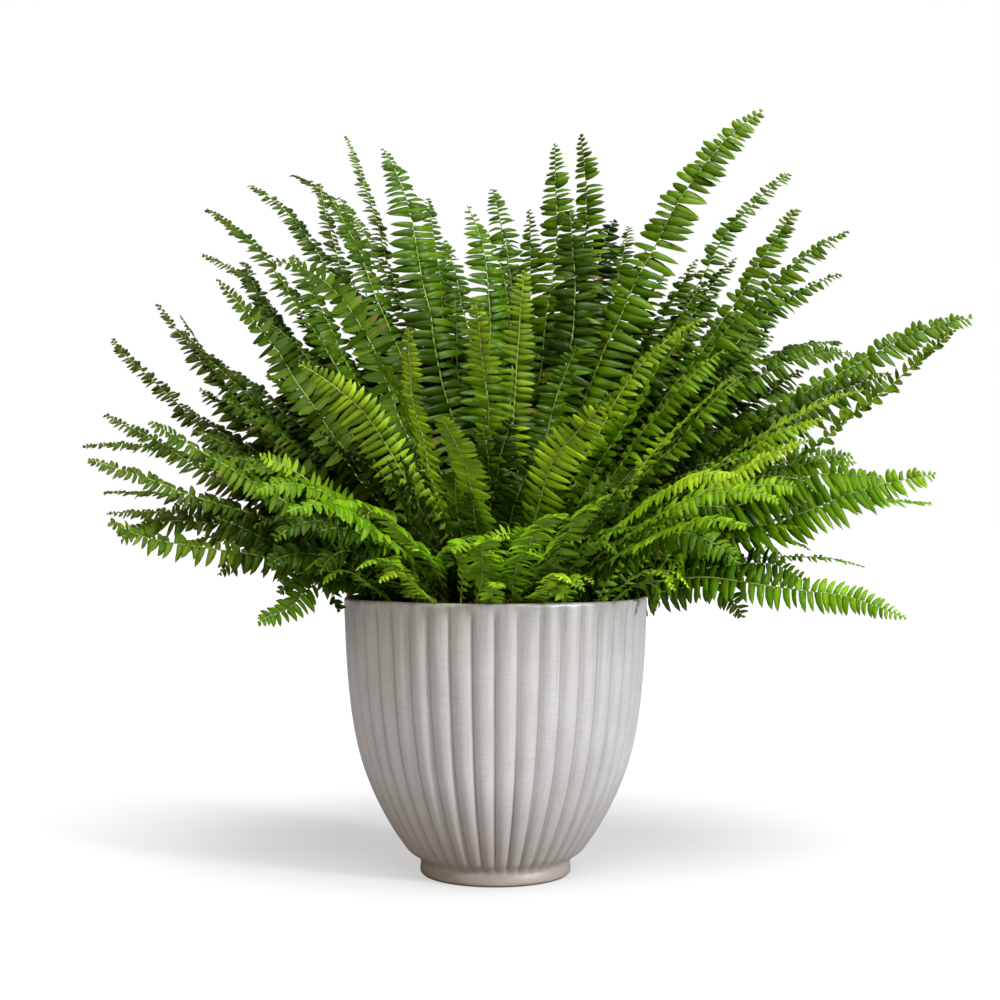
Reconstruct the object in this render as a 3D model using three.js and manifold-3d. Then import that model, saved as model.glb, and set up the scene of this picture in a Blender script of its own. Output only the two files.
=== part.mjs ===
// Potted Boston fern. Millimetres, +Z up, the origin at the centre of the pot's flat base.
// The camera of the photograph looks along +Y, so that -Y is the front.
import * as THREE from 'three';
import { mergeVertices } from 'three/addons/utils/BufferGeometryUtils.js';
import Module from 'manifold-3d';

const wasm = await Module();
wasm.setup();
const { Manifold, Mesh } = wasm;

const { lerp, degToRad, seededRandom } = THREE.MathUtils;

// Pot: height, radius over the lobes, depth of the creases between them
const LOBES = 44;
const RIM_Z = 291;
const POT_OUTSIDE = [
  [0, 75, 0],
  [4, 79.5, 0],
  [12, 79.5, 0],
  [15, 78.5, 0.6],
  [25, 92, 2.6],
  [60, 115.5, 3.2],
  [110, 138.5, 3.4],
  [170, 152, 3.2],
  [235, 158, 3],
  [284, 160, 2.2],
  [287.5, 160, 0],
  [RIM_Z, 158.8, 0],
];
const INNER_SIDES = 22;
const MOUTH_RADIUS = 151;
const POT_INSIDE = [[26, 74], [95, 122], [200, 145.5], [RIM_Z, MOUTH_RADIUS]];

// Soil
const SOIL_Z = 262;
const FIT = 0.35;
const HOLE_DEPTH = 24;

// Roots
const ROOT_OUT = 108;
const ROOT_IN = 6;
const ROOT_GAP = 14;
const ROOT_PUSH = 0.3;
const ROOT_ROUNDS = 80;
const ROOT_LIMIT = 126;

// Ribs
const STEM_START = 3;
const LAUNCH = 0.3;
const ROOT_TURN = 0.6;
const LIFT_FLAT = 1.25;
const LIFT_STEEP = 0.15;
const BEND_STEPS = 20;
const BEND_ROUNDS = 60;
const BEND_GAP = 9;
const BEND_EASE = 0.25;
const BEND_LEAST = 0.02;
const STEM_HALF = 1.9;
const STEM_HIGH = 3.3;
const RIB_HALF = 1.15;
const RIB_HIGH = 2.3;
const TIP_HALF = 0.6;
const TIP_HIGH = 0.9;
const STEM_STEPS = 3;

// Leaflets
const BLADE_START = 0.15;
const HALF_WIDTH = 33;
const YOUNG_WIDTH = 0.6;
const GROWN_AGE = 0.35;
const PITCH = 32;
const LEAST_PAIRS = 5;
const LEAN_BASE = 0.05;
const LEAN_TIP = 0.4;
const SAG = -0.16;
const SAG_SPREAD = 0.1;
const LENGTH_SPREAD = 0.16;
const LEFT_PLACE = 0.35;
const RIGHT_PLACE = 0.75;
const CLEAR = 0.4;
const TRIES = [1, 0.88, 0.75, 0.6, 0.45, 0.3, 0.18];
const SEED = 20;

// Fronds, each chosen by eye: node, tip x y z, middle x z, turn of the face towards the front in
// degrees, age from 0 (bright new leaf) to 1 (dark old leaf), width as a share of the widest.
// Rows that share a node share a root.
const FRONDS = [
  ['left_01', -375, -130, 370, -270, 338, 50, 0.6, 0.7],
  ['left_02', -425, 60, 380, -295, 365, 35, 0.7, 0.6],
  ['left_02', -450, 150, 405, -305, 382, 20, 0.8, 0.5],
  ['left_03', -415, -60, 435, -290, 392, 40, 0.55, 0.6],
  ['left_04', -460, 90, 455, -320, 430, 30, 0.65, 0.5],
  ['left_04', -440, 140, 580, -330, 470, 45, 0.95, 0.5],
  ['left_05', -415, 10, 485, -292, 410, 40, 0.75, 0.6],
  ['left_05', -282, 0, 499, -208, 446, 30, 0.9, 0.7],
  ['left_06', -370, 60, 610, -297, 512, 30, 0.75, 0.6],
  ['left_06', -325, -40, 585, -262, 485, 5, 0.8, 0.6],
  ['left_06', -292, 60, 538, -232, 466, 30, 0.9, 0.6],
  ['left_07', -275, -110, 612, -210, 520, 60, 0.45, 0.85],
  ['left_07', -234, 0, 579, -162, 493, 30, 0.6, 0.8],
  ['left_08', -313, 40, 712, -212, 590, 25, 0.6, 0.65],
  ['left_09', -338, 190, 690, -233, 565, 30, 0.75, 0.5],
  ['left_09', -233, 200, 788, -137, 622, 10, 0.5, 0.6],
  ['left_10', -268, 100, 753, -166, 603, 30, 0.55, 0.65],
  ['left_10', -234, 60, 639, -171, 545, 20, 0.7, 0.8],
  ['left_11', -173, 160, 820, -107, 619, 10, 0.45, 0.5],
  ['left_11', -190, 240, 765, -110, 614, 20, 0.7, 0.55],
  ['left_12', -124, 110, 795, -72, 580, 35, 0.5, 1.05],
  ['left_13', -222, -70, 638, -135, 538, 45, 0.55, 1.05],
  ['left_13', -203, -40, 517, -150, 455, 30, 0.7, 0.9],
  ['left_14', -190, -130, 525, -139, 483, 60, 0.05, 1.1],
  ['left_15', -77, -260, 545, -68, 434, 20, 0.1, 0.7],
  ['left_16', -328, -170, 466, -225, 397, 55, 0.4, 0.7],
  ['left_16', -250, -60, 420, -170, 390, 30, 0.8, 0.8],
  ['left_17', -310, 110, 322, -216, 322, 15, 0.85, 0.6],
  ['left_18', -230, -130, 273, -178, 312, 55, 0.6, 0.8],
  ['left_19', -120, -170, 540, -70, 440, 30, 0.3, 0.8],
  ['left_20', -222, -200, 400, -149, 384, 65, 0.25, 0.75],
  ['left_20', -226, -150, 434, -180, 403, 65, 0.15, 0.8],
  ['left_21', -186, -250, 380, -117, 360, 60, 0.35, 0.65],
  ['left_21', -138, -300, 387, -86, 360, 60, 0.3, 0.6],
  ['top_01', -81, 220, 760, -58, 590, 0, 0.75, 0.7],
  ['top_01', -62, 270, 713, -47, 570, 0, 0.95, 0.8],
  ['top_01', -45, 100, 620, -38, 520, 10, 0.7, 0.9],
  ['top_02', -29, 10, 710, -12, 564, 30, 0.55, 0.95],
  ['top_03', -4, 190, 765, 15, 587, 0, 0.95, 0.9],
  ['top_03', 37, 110, 725, 33, 571, 0, 0.75, 0.8],
  ['top_03', 20, 150, 640, 15, 530, 0, 0.8, 1],
  ['top_04', 29, -130, 616, 20, 505, 20, 0.1, 0.8],
  ['top_05', -18, -190, 582, -8, 466, 10, 0.15, 0.8],
  ['top_06', 66, 100, 798, 60, 614, 0, 0.5, 1],
  ['top_07', 90, 30, 790, 88, 590, 30, 0.6, 1],
  ['top_08', 138, 200, 722, 107, 577, 10, 0.7, 0.9],
  ['top_08', 163, 270, 735, 122, 576, 0, 0.85, 0.8],
  ['top_08', 120, 120, 640, 90, 540, 10, 0.6, 0.9],
  ['front_01', -48, -270, 463, -26, 410, 0, 0.2, 0.8],
  ['front_02', 97, -230, 476, 48, 401, 60, 0, 1.1],
  ['front_03', 60, -330, 377, 32, 350, 0, 0.4, 0.6],
  ['front_03', 99, -280, 394, 71, 358, 20, 0.45, 0.6],
  ['right_01', 285, 20, 814, 160, 640, 60, 0.35, 1.05],
  ['right_02', 333, 130, 770, 222, 616, 50, 0.6, 0.5],
  ['right_03', 319, 10, 705, 224, 559, 50, 0.5, 0.85],
  ['right_03', 175, 40, 590, 125, 480, 30, 0.7, 1],
  ['right_04', 364, -40, 673, 256, 573, 40, 0.6, 0.95],
  ['right_05', 390, 120, 653, 271, 566, 45, 0.7, 0.5],
  ['right_05', 407, 200, 585, 267, 526, 30, 0.95, 0.55],
  ['right_06', 395, 90, 560, 274, 520, 50, 0.65, 0.8],
  ['right_06', 302, 90, 586, 213, 504, 40, 0.6, 0.9],
  ['right_07', 460, 170, 544, 298, 496, 20, 0.4, 0.7],
  ['right_08', 362, -120, 501, 244, 438, 35, 0.15, 0.95],
  ['right_08', 250, -60, 520, 180, 440, 30, 0.5, 0.9],
  ['right_09', 504, 0, 587, 324, 498, 50, 0.45, 0.85],
  ['right_10', 463, -80, 565, 360, 463, 45, 0.5, 0.85],
  ['right_11', 371, -50, 431, 250, 403, 40, 0.5, 0.7],
  ['right_11', 336, -60, 477, 262, 436, 30, 0.3, 0.9],
  ['right_12', 291, -190, 447, 203, 392, 60, 0.15, 0.9],
  ['right_12', 310, -100, 452, 250, 420, 55, 0.1, 0.8],
  ['right_13', 482, 60, 423, 350, 373, 60, 0.4, 1.05],
  ['right_14', 501, 150, 392, 324, 372, 15, 0.5, 0.6],
  ['right_14', 364, 160, 338, 230, 340, 10, 0.7, 0.6],
  ['right_15', 397, 30, 322, 268, 330, 15, 0.55, 0.6],
  ['right_15', 416, -70, 273, 290, 302, 75, 0.5, 1],
  ['right_16', 262, -210, 389, 177, 382, 60, 0.35, 0.7],
  ['right_16', 221, -280, 366, 148, 352, 60, 0.4, 0.6],
  ['right_17', 219, -240, 413, 141, 382, 60, 0.2, 0.8],
  ['right_18', 231, -150, 512, 155, 432, 40, 0.15, 0.9],
  ['right_18', 215, -20, 584, 150, 530, 30, 0.2, 0.9],
  ['right_19', 233, -60, 547, 155, 465, 40, 0.4, 0.9],
  ['right_19', 202, -100, 574, 143, 485, 40, 0.45, 0.9],
  ['right_20', 293, -120, 404, 198, 380, 60, 0.35, 0.8],
  ['right_20', 270, -60, 440, 190, 395, 55, 0.6, 0.9],
  ['back_01', 330, 240, 440, 230, 400, 10, 0.6, 0.9],
  ['back_01', 340, 210, 330, 225, 345, 10, 0.7, 0.8],
  ['back_02', 230, 350, 400, 150, 380, 0, 0.6, 0.9],
  ['back_02', 270, 290, 560, 185, 500, 0, 0.55, 0.9],
  ['back_03', 90, 400, 430, 60, 400, 0, 0.5, 0.9],
  ['back_03', 130, 370, 305, 85, 335, 0, 0.7, 0.9],
  ['back_04', -70, 410, 390, -45, 380, 0, 0.6, 0.9],
  ['back_04', -20, 350, 600, -15, 520, 0, 0.45, 0.9],
  ['back_05', -210, 350, 450, -140, 410, 0, 0.5, 0.9],
  ['back_05', -160, 370, 300, -105, 335, 0, 0.7, 0.9],
  ['back_06', -320, 260, 400, -220, 385, 10, 0.6, 0.9],
  ['back_06', -250, 290, 590, -170, 510, 0, 0.55, 0.9],
];

const COLOURS = { pot: 0xb9b2ab, soil: 0x2a221b, young: 0x8db33c, old: 0x2c5a22 };
const Z_AXIS = new THREE.Vector3(0, 0, 1);

// Roots: flat fronds stand near the wall and upright ones near the middle, then all move apart.
function placeRoots(rows) {
  const roots = new Map();
  for (const [node, x, y, z] of rows) {
    if (roots.has(node)) continue;
    const steep = new THREE.Vector3(x, y, z - SOIL_Z).normalize().z;
    roots.set(node, new THREE.Vector2(x, y).setLength(lerp(ROOT_OUT, ROOT_IN, steep)));
  }
  const list = [...roots.values()];
  for (let round = 0; round < ROOT_ROUNDS; round += 1) {
    const moves = list.map(() => new THREE.Vector2());
    for (let i = 0; i < list.length; i += 1) {
      for (let j = 0; j < i; j += 1) {
        const gap = list[i].clone().sub(list[j]);
        const short = ROOT_GAP - gap.length();
        if (short <= 0) continue;
        gap.setLength(short * ROOT_PUSH);
        moves[i].add(gap);
        moves[j].sub(gap);
      }
    }
    list.forEach((root, i) => root.add(moves[i]).clampLength(0, ROOT_LIMIT));
  }
  return roots;
}

function startRibs(rows) {
  const roots = placeRoots(rows);
  return rows.map(([node, x, y, z, midX, midZ, turn, age, width]) => {
    const foot = roots.get(node);
    const root = new THREE.Vector3(foot.x, foot.y, SOIL_Z + STEM_START);
    const tip = new THREE.Vector3(x, y, z);
    const before = Math.hypot(midX - root.x, midZ - root.z);
    const after = Math.hypot(x - midX, z - midZ);
    const at = before / (before + after);
    const mid = new THREE.Vector3(midX, lerp(root.y, y, at), midZ);
    const chord = tip.clone().sub(root);
    const steep = Math.max(0, chord.z / chord.length());
    const aim = mid.clone().sub(root).normalize();
    aim.z += lerp(LIFT_FLAT, LIFT_STEEP, steep);
    const launch = root.clone().addScaledVector(aim.normalize(), LAUNCH * chord.length());
    return { node, root, launch, mid, tip, at, turn, age, width };
  });
}

// The curve of a rib leaves its root towards the launch point and passes its middle to its tip.
function curveOf({ root, launch, mid, tip, at }) {
  const left = 1 - at;
  const far = mid.clone()
    .addScaledVector(root, -(left ** 3))
    .addScaledVector(launch, -3 * left * left * at)
    .addScaledVector(tip, -(at ** 3))
    .divideScalar(3 * left * at * at);
  return new THREE.CubicBezierCurve3(root, launch, far, tip);
}

function linesOf(rib) {
  const points = curveOf(rib).getPoints(BEND_STEPS);
  const lines = points.slice(1).map((point, i) => new THREE.Line3(points[i], point));
  return { lines, box: new THREE.Box3().setFromPoints(points).expandByScalar(BEND_GAP / 2) };
}

// Where two ribs are nearest, if that is nearer than the gap they keep.
function nearestSpot(first, second) {
  const [onFirst, onSecond] = [new THREE.Vector3(), new THREE.Vector3()];
  let least = BEND_GAP;
  let spot = null;
  first.lines.forEach((line, i) => {
    second.lines.forEach((other, j) => {
      const reach = line.distance() + other.distance() + BEND_GAP;
      if (line.start.distanceToSquared(other.start) > reach * reach) return;
      const apart = Math.sqrt(line.distanceSqToLine3(other, onFirst, onSecond));
      if (apart >= least) return;
      least = apart;
      const a = (i + line.closestPointToPointParameter(onFirst, true)) / BEND_STEPS;
      const b = (j + other.closestPointToPointParameter(onSecond, true)) / BEND_STEPS;
      spot = { apart, a, b, away: onFirst.clone().sub(onSecond) };
    });
  });
  return spot;
}

// Ribs that pass too close to one another bend apart, a little in each round.
function bendApart(ribs) {
  for (let round = 0; round < BEND_ROUNDS; round += 1) {
    const shapes = ribs.map(linesOf);
    const moves = ribs.map(() => ({ launch: new THREE.Vector3(), mid: new THREE.Vector3() }));
    for (let i = 0; i < ribs.length; i += 1) {
      for (let j = 0; j < i; j += 1) {
        if (ribs[i].node === ribs[j].node || !shapes[i].box.intersectsBox(shapes[j].box)) continue;
        const spot = nearestSpot(shapes[i], shapes[j]);
        if (!spot) continue;
        const away = spot.apart > 0.01 ? spot.away.normalize() : Z_AXIS;
        const short = BEND_GAP - spot.apart;
        for (const [index, t, push] of [[i, spot.a, short], [j, spot.b, -short]]) {
          const { at } = ribs[index];
          const left = 1 - t;
          const byMid = (left * t * t) / ((1 - at) * at * at);
          const byLaunch = 3 * t * left * (left - (t * (1 - at)) / at);
          const share = (BEND_EASE * push) / (byMid * byMid + byLaunch * byLaunch + BEND_LEAST);
          moves[index].mid.addScaledVector(away, share * byMid);
          moves[index].launch.addScaledVector(away, share * byLaunch);
        }
      }
    }
    ribs.forEach((rib, i) => {
      rib.mid.add(moves[i].mid);
      rib.launch.add(moves[i].launch);
    });
  }
  return ribs;
}

// A station is a place on a rib: its point, the way on, the blade's side and the way up from it.
function stationAt(rib, curve, share) {
  const heading = rib.tip.clone().sub(rib.root).setZ(0).normalize();
  const along = curve.getTangentAt(share);
  const angle = degToRad(rib.turn) * heading.x * lerp(ROOT_TURN, 1, share);
  const side = new THREE.Vector3(-heading.y, heading.x, 0)
    .projectOnPlane(along)
    .normalize()
    .applyAxisAngle(along, angle);
  const u = Math.max(0, (share - BLADE_START) / (1 - BLADE_START));
  const stem = Math.min(1, share / BLADE_START);
  return {
    point: curve.getPointAt(share),
    along,
    side,
    up: along.clone().cross(side),
    u,
    share,
    half: u > 0 ? lerp(RIB_HALF, TIP_HALF, u) : lerp(STEM_HALF, RIB_HALF, stem),
    high: u > 0 ? lerp(RIB_HIGH, TIP_HIGH, u) : lerp(STEM_HIGH, RIB_HIGH, stem),
  };
}

function stationsOf(rib, hasFoot) {
  const curve = curveOf(rib);
  const bladeLength = curve.getLength() * (1 - BLADE_START);
  const pairs = Math.max(LEAST_PAIRS, Math.round(bladeLength / PITCH));
  const shares = [];
  for (let i = 0; i < STEM_STEPS; i += 1) shares.push((BLADE_START * i) / STEM_STEPS);
  for (let i = 0; i <= pairs; i += 1) shares.push(lerp(BLADE_START, 1, i / pairs));
  const stations = shares.map((share) => stationAt(rib, curve, share));
  // The foot of the stem stands upright in its hole.
  const side = stations[0].side.clone().setZ(0).normalize();
  stations[0] = { ...stations[0], along: Z_AXIS, side, up: Z_AXIS.clone().cross(side) };
  if (hasFoot) {
    const point = stations[0].point.clone().setZ(SOIL_Z - HOLE_DEPTH + FIT);
    stations.unshift({ ...stations[0], point });
  }
  return { stations, pairs };
}

// The rib is three-sided: left, right and top corner at each station.
function cornersOf({ point, side, up, half, high }) {
  const base = point.clone().addScaledVector(up, -high / 3);
  return [
    base.clone().addScaledVector(side, half),
    base.clone().addScaledVector(side, -half),
    base.clone().addScaledVector(up, high),
  ];
}

// Half the width of the blade, as a share of its most, from its start (0) to the tip (1).
function bladeShape(u) {
  const rise = 0.5 + 0.5 * Math.sin((Math.PI / 2) * Math.min(1, u / 0.3));
  return rise * (1 - u ** 4.5) ** 0.8;
}

// Convex pieces are tested against one another by the gap along each likely axis.
const PRISM_FACES = [[0, 1, 2], [3, 5, 4], [0, 3, 4, 1], [0, 2, 5, 3], [1, 4, 5, 2]];
const LEAF_FACES = [[0, 1, 2, 3], [0, 1, 4], [1, 2, 4], [2, 3, 4], [3, 0, 4]];

function makePiece(points, faces, owner) {
  const axes = faces
    .map(([a, b, c]) => new THREE.Triangle(points[a], points[b], points[c]))
    .filter((triangle) => triangle.getArea() > 0)
    .map((triangle) => triangle.getNormal(new THREE.Vector3()));
  const edges = new Map();
  for (const face of faces) {
    face.forEach((from, i) => {
      const to = face[(i + 1) % face.length];
      const key = `${Math.min(from, to)} ${Math.max(from, to)}`;
      if (!edges.has(key)) edges.set(key, points[to].clone().sub(points[from]));
    });
  }
  const box = new THREE.Box3().setFromPoints(points);
  return { points, axes, edges: [...edges.values()], box, owner };
}

function spanAlong(points, axis) {
  const places = points.map((point) => point.dot(axis));
  return [Math.min(...places), Math.max(...places)];
}

function areClear(a, b) {
  if (!a.box.clone().expandByScalar(CLEAR).intersectsBox(b.box)) return true;
  const parts = (axis) => {
    const [aLow, aHigh] = spanAlong(a.points, axis);
    const [bLow, bHigh] = spanAlong(b.points, axis);
    return Math.max(aLow - bHigh, bLow - aHigh) >= CLEAR;
  };
  if (a.axes.some(parts) || b.axes.some(parts)) return true;
  return a.edges.some((e) => b.edges.some((f) => {
    const axis = e.clone().cross(f);
    return axis.lengthSq() > 1e-6 && parts(axis.normalize());
  }));
}

// A grid of cells finds the pieces near a piece.
const CELL = 32;
const cells = new Map();

function cellsOf({ box }) {
  const from = box.min.clone().subScalar(CLEAR).divideScalar(CELL).floor();
  const to = box.max.clone().addScalar(CLEAR).divideScalar(CELL).floor();
  const keys = [];
  for (let i = from.x; i <= to.x; i += 1) {
    for (let j = from.y; j <= to.y; j += 1) {
      for (let k = from.z; k <= to.z; k += 1) keys.push(`${i} ${j} ${k}`);
    }
  }
  return keys;
}

function remember(piece) {
  for (const key of cellsOf(piece)) {
    if (!cells.has(key)) cells.set(key, []);
    cells.get(key).push(piece);
  }
}

// Fronds of one node may meet near their common root.
const JOINED_SHARE = 0.2;

function meetsAnother(piece) {
  const near = new Set(cellsOf(piece).flatMap((key) => cells.get(key) || []));
  return [...near].some((other) => {
    if (other.owner === piece.owner) return false;
    const isJoined = other.owner.rib.node === piece.owner.rib.node && other.share < JOINED_SHARE;
    return !isJoined && !areClear(piece, other);
  });
}

// Radius of the pot's outside over the lobes, at a height.
function potRadius(z) {
  const above = POT_OUTSIDE.findIndex(([height]) => height >= z);
  if (above < 1) return POT_OUTSIDE[0][1];
  const [lowZ, low] = POT_OUTSIDE[above - 1];
  const [highZ, high] = POT_OUTSIDE[above];
  return lerp(low, high, (z - lowZ) / (highZ - lowZ));
}

const POT_CLEAR = 1.5;
const WALL_CLEAR = 3;
const MOUTH_CLEAR = MOUTH_RADIUS * Math.cos(Math.PI / INNER_SIDES) - WALL_CLEAR;

function meetsPot(point) {
  const radius = Math.hypot(point.x, point.y);
  if (point.z > RIM_Z + 1) return false;
  if (radius > potRadius(Math.min(point.z, RIM_Z)) + POT_CLEAR) return false;
  return radius > MOUTH_CLEAR || point.z < SOIL_Z + POT_CLEAR;
}

function leafMeetsPot(corners, tip) {
  const shares = [1 / 6, 1 / 3, 1 / 2, 2 / 3, 5 / 6, 1];
  return corners.some((corner) => shares.some((share) => meetsPot(corner.clone().lerp(tip, share))));
}

function planFrond(rib, hasFoot) {
  const plan = { rib, hasFoot, ...stationsOf(rib, hasFoot), leaves: [] };
  plan.corners = plan.stations.map(cornersOf);
  for (let i = 1; i < plan.corners.length; i += 1) {
    const piece = makePiece([...plan.corners[i - 1], ...plan.corners[i]], PRISM_FACES, plan);
    piece.share = plan.stations[i].share;
    remember(piece);
  }
  return plan;
}

const spread = (middle, range) => middle + range * (seededRandom() - 0.5);

// The tip of one leaflet, shortened until it clears all that is there, or left out.
function growLeaf(plan, index, sign) {
  const [a, b] = [plan.stations[index], plan.stations[index + 1]];
  const [aLeft, aRight, aTop] = plan.corners[index];
  const [bLeft, bRight, bTop] = plan.corners[index + 1];
  const root = sign > 0 ? [aLeft, aTop, bTop, bLeft] : [aRight, bRight, bTop, aTop];
  const place = sign > 0 ? LEFT_PLACE : RIGHT_PLACE;
  const u = lerp(a.u, b.u, place);
  const { age, width } = plan.rib;
  const grown = lerp(YOUNG_WIDTH, 1, Math.min(1, age / GROWN_AGE));
  const wanted = HALF_WIDTH * width * grown * bladeShape(u) * spread(1, LENGTH_SPREAD);
  const start = a.point.clone().lerp(b.point, 0.5 + (place - 0.5) * 0.3);
  const heading = a.side.clone().multiplyScalar(sign)
    .addScaledVector(a.along, lerp(LEAN_BASE, LEAN_TIP, u * u))
    .addScaledVector(a.up, spread(SAG, SAG_SPREAD))
    .normalize();
  for (const shorter of TRIES) {
    const tip = start.clone().addScaledVector(heading, wanted * shorter + a.half);
    const piece = makePiece([...root, tip], LEAF_FACES, plan);
    piece.share = a.share;
    if (leafMeetsPot(root, tip) || meetsAnother(piece)) continue;
    remember(piece);
    return tip;
  }
  return null;
}

function geometryFrom(points, triangles) {
  return new THREE.BufferGeometry().setFromPoints(points).setIndex(triangles.flat());
}

// A frond: a three-sided rib with a pyramid for each leaflet.
function frondGeometry({ corners, leaves }) {
  const points = corners.flat();
  const triangles = [];
  const addSide = (a, b, c, d, tip) => {
    if (!tip) {
      triangles.push([a, b, c], [a, c, d]);
      return;
    }
    const end = points.push(tip) - 1;
    triangles.push([a, b, end], [b, c, end], [c, d, end], [d, a, end]);
  };
  triangles.push([0, 1, 2]);
  for (let i = 0; i + 1 < corners.length; i += 1) {
    const leaf = leaves[i] || {};
    const [aLeft, aRight, aTop, bLeft, bRight, bTop] = [0, 1, 2, 3, 4, 5].map((k) => 3 * i + k);
    addSide(aLeft, aTop, bTop, bLeft, leaf.left);
    addSide(aRight, bRight, bTop, aTop, leaf.right);
    addSide(aLeft, bLeft, bRight, aRight);
  }
  const last = 3 * (corners.length - 1);
  triangles.push([last, last + 2, last + 1]);
  return geometryFrom(points, triangles);
}

// A closed three.js geometry as a solid: corners joined, and collapsed triangles left out.
function solidOf(geometry) {
  const plain = new THREE.BufferGeometry();
  plain.setAttribute('position', geometry.getAttribute('position'));
  plain.setIndex(geometry.getIndex());
  const { index, attributes } = mergeVertices(plain, 1e-4);
  const triVerts = [];
  for (let i = 0; i < index.count; i += 3) {
    const triangle = [index.getX(i), index.getX(i + 1), index.getX(i + 2)];
    if (new Set(triangle).size === 3) triVerts.push(...triangle);
  }
  return new Manifold(new Mesh({
    numProp: 3,
    vertProperties: Float32Array.from(attributes.position.array),
    triVerts: Uint32Array.from(triVerts),
  }));
}

function geometryOf(solid) {
  const mesh = solid.getMesh();
  const geometry = new THREE.BufferGeometry();
  geometry.setAttribute('position', new THREE.BufferAttribute(mesh.vertProperties, mesh.numProp));
  return geometry.setIndex(new THREE.BufferAttribute(mesh.triVerts, 1));
}

// A solid turned about Z from heights and radii, its first column at the front.
function turned(levels, sides) {
  const outline = levels.map(([z, radius]) => new THREE.Vector2(radius, z));
  outline.unshift(new THREE.Vector2(0, levels[0][0]));
  outline.push(new THREE.Vector2(0, levels[levels.length - 1][0]));
  return new THREE.LatheGeometry(outline, sides).rotateX(Math.PI / 2);
}

// Every second column of the pot is pushed in to make the creases between the lobes.
function potSolid() {
  const outside = turned(POT_OUTSIDE, 2 * LOBES);
  const places = outside.getAttribute('position');
  const rows = POT_OUTSIDE.length + 2;
  for (let column = 0; column <= 2 * LOBES; column += 2) {
    POT_OUTSIDE.forEach(([, radius, crease], level) => {
      const i = column * rows + level + 1;
      const shrink = (radius - crease) / radius;
      places.setXY(i, places.getX(i) * shrink, places.getY(i) * shrink);
    });
  }
  const hollow = [...POT_INSIDE, [RIM_Z + 1, MOUTH_RADIUS]];
  return solidOf(outside).subtract(solidOf(turned(hollow, INNER_SIDES)));
}

// A plain hole round the foot of a stem.
function holeSolid(corners) {
  const centre = new THREE.Triangle(...corners).getMidpoint(new THREE.Vector3());
  const slope = Math.hypot(STEM_HALF, STEM_HIGH);
  const inRadius = (STEM_HALF * STEM_HIGH) / (STEM_HALF + slope);
  const outline = corners.map(({ x, y }) => new THREE.Vector2(x, y)
    .sub(centre)
    .multiplyScalar((inRadius + FIT) / inRadius)
    .add(centre));
  const peg = new THREE.ExtrudeGeometry(new THREE.Shape(outline), {
    depth: HOLE_DEPTH + 1,
    bevelEnabled: false,
  });
  return solidOf(peg.translate(0, 0, SOIL_Z - HOLE_DEPTH));
}

function soilSolid(plans) {
  const gap = FIT / Math.cos(Math.PI / INNER_SIDES);
  const levels = POT_INSIDE.map(([z, radius]) => [z, radius - gap]);
  levels[0][0] += FIT;
  const [topZ, topRadius] = levels.pop();
  const [underZ, underRadius] = levels[levels.length - 1];
  const part = (SOIL_Z - underZ) / (topZ - underZ);
  levels.push([SOIL_Z, lerp(underRadius, topRadius, part)]);
  const holes = plans.filter((plan) => plan.hasFoot).map((plan) => holeSolid(plan.corners[0]));
  return solidOf(turned(levels, INNER_SIDES)).subtract(Manifold.union(holes));
}

const root = new THREE.Group();

function addNode(name, solid, colour, roughness) {
  const material = new THREE.MeshStandardMaterial({ color: colour, roughness, metalness: 0 });
  const mesh = new THREE.Mesh(geometryOf(solid), material);
  mesh.name = name;
  root.add(mesh);
}

const used = new Set();
const plans = bendApart(startRibs(FRONDS)).map((rib) => {
  const hasFoot = !used.has(rib.node);
  used.add(rib.node);
  return planFrond(rib, hasFoot);
});

seededRandom(SEED);
for (const plan of plans) {
  const firstLeaf = plan.stations.length - 1 - plan.pairs;
  for (let i = firstLeaf; i + 1 < plan.stations.length; i += 1) {
    plan.leaves[i] = { left: growLeaf(plan, i, 1), right: growLeaf(plan, i, -1) };
  }
}

addNode('pot', potSolid(), COLOURS.pot, 0.85);
addNode('soil', soilSolid(plans), COLOURS.soil, 0.95);

const young = new THREE.Color(COLOURS.young);
const old = new THREE.Color(COLOURS.old);
for (const node of used) {
  const own = plans.filter((plan) => plan.rib.node === node);
  const solid = Manifold.union(own.map((plan) => solidOf(frondGeometry(plan))));
  addNode(`frond_${node}`, solid, young.clone().lerp(old, own[0].rib.age), 0.55);
}

export default root;
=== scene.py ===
"""Dresses the potted Boston fern: fluted pot, soil, and every frond leaflet by leaflet."""

import math
import random
from functools import partialmethod
from types import SimpleNamespace

import bmesh
import bpy
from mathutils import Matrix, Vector


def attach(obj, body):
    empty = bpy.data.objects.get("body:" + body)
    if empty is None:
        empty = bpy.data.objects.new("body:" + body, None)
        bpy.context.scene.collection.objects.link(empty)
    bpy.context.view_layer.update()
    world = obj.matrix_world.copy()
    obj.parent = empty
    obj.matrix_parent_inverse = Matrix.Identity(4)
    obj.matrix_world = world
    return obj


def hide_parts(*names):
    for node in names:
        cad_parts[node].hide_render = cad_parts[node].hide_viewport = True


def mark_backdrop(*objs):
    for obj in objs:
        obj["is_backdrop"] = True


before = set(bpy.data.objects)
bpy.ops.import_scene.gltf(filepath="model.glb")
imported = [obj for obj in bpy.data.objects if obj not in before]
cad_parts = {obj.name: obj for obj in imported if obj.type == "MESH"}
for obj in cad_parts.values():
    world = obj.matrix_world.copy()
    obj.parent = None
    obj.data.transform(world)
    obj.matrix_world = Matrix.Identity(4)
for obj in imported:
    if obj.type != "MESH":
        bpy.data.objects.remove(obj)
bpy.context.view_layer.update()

MM = 0.001

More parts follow.
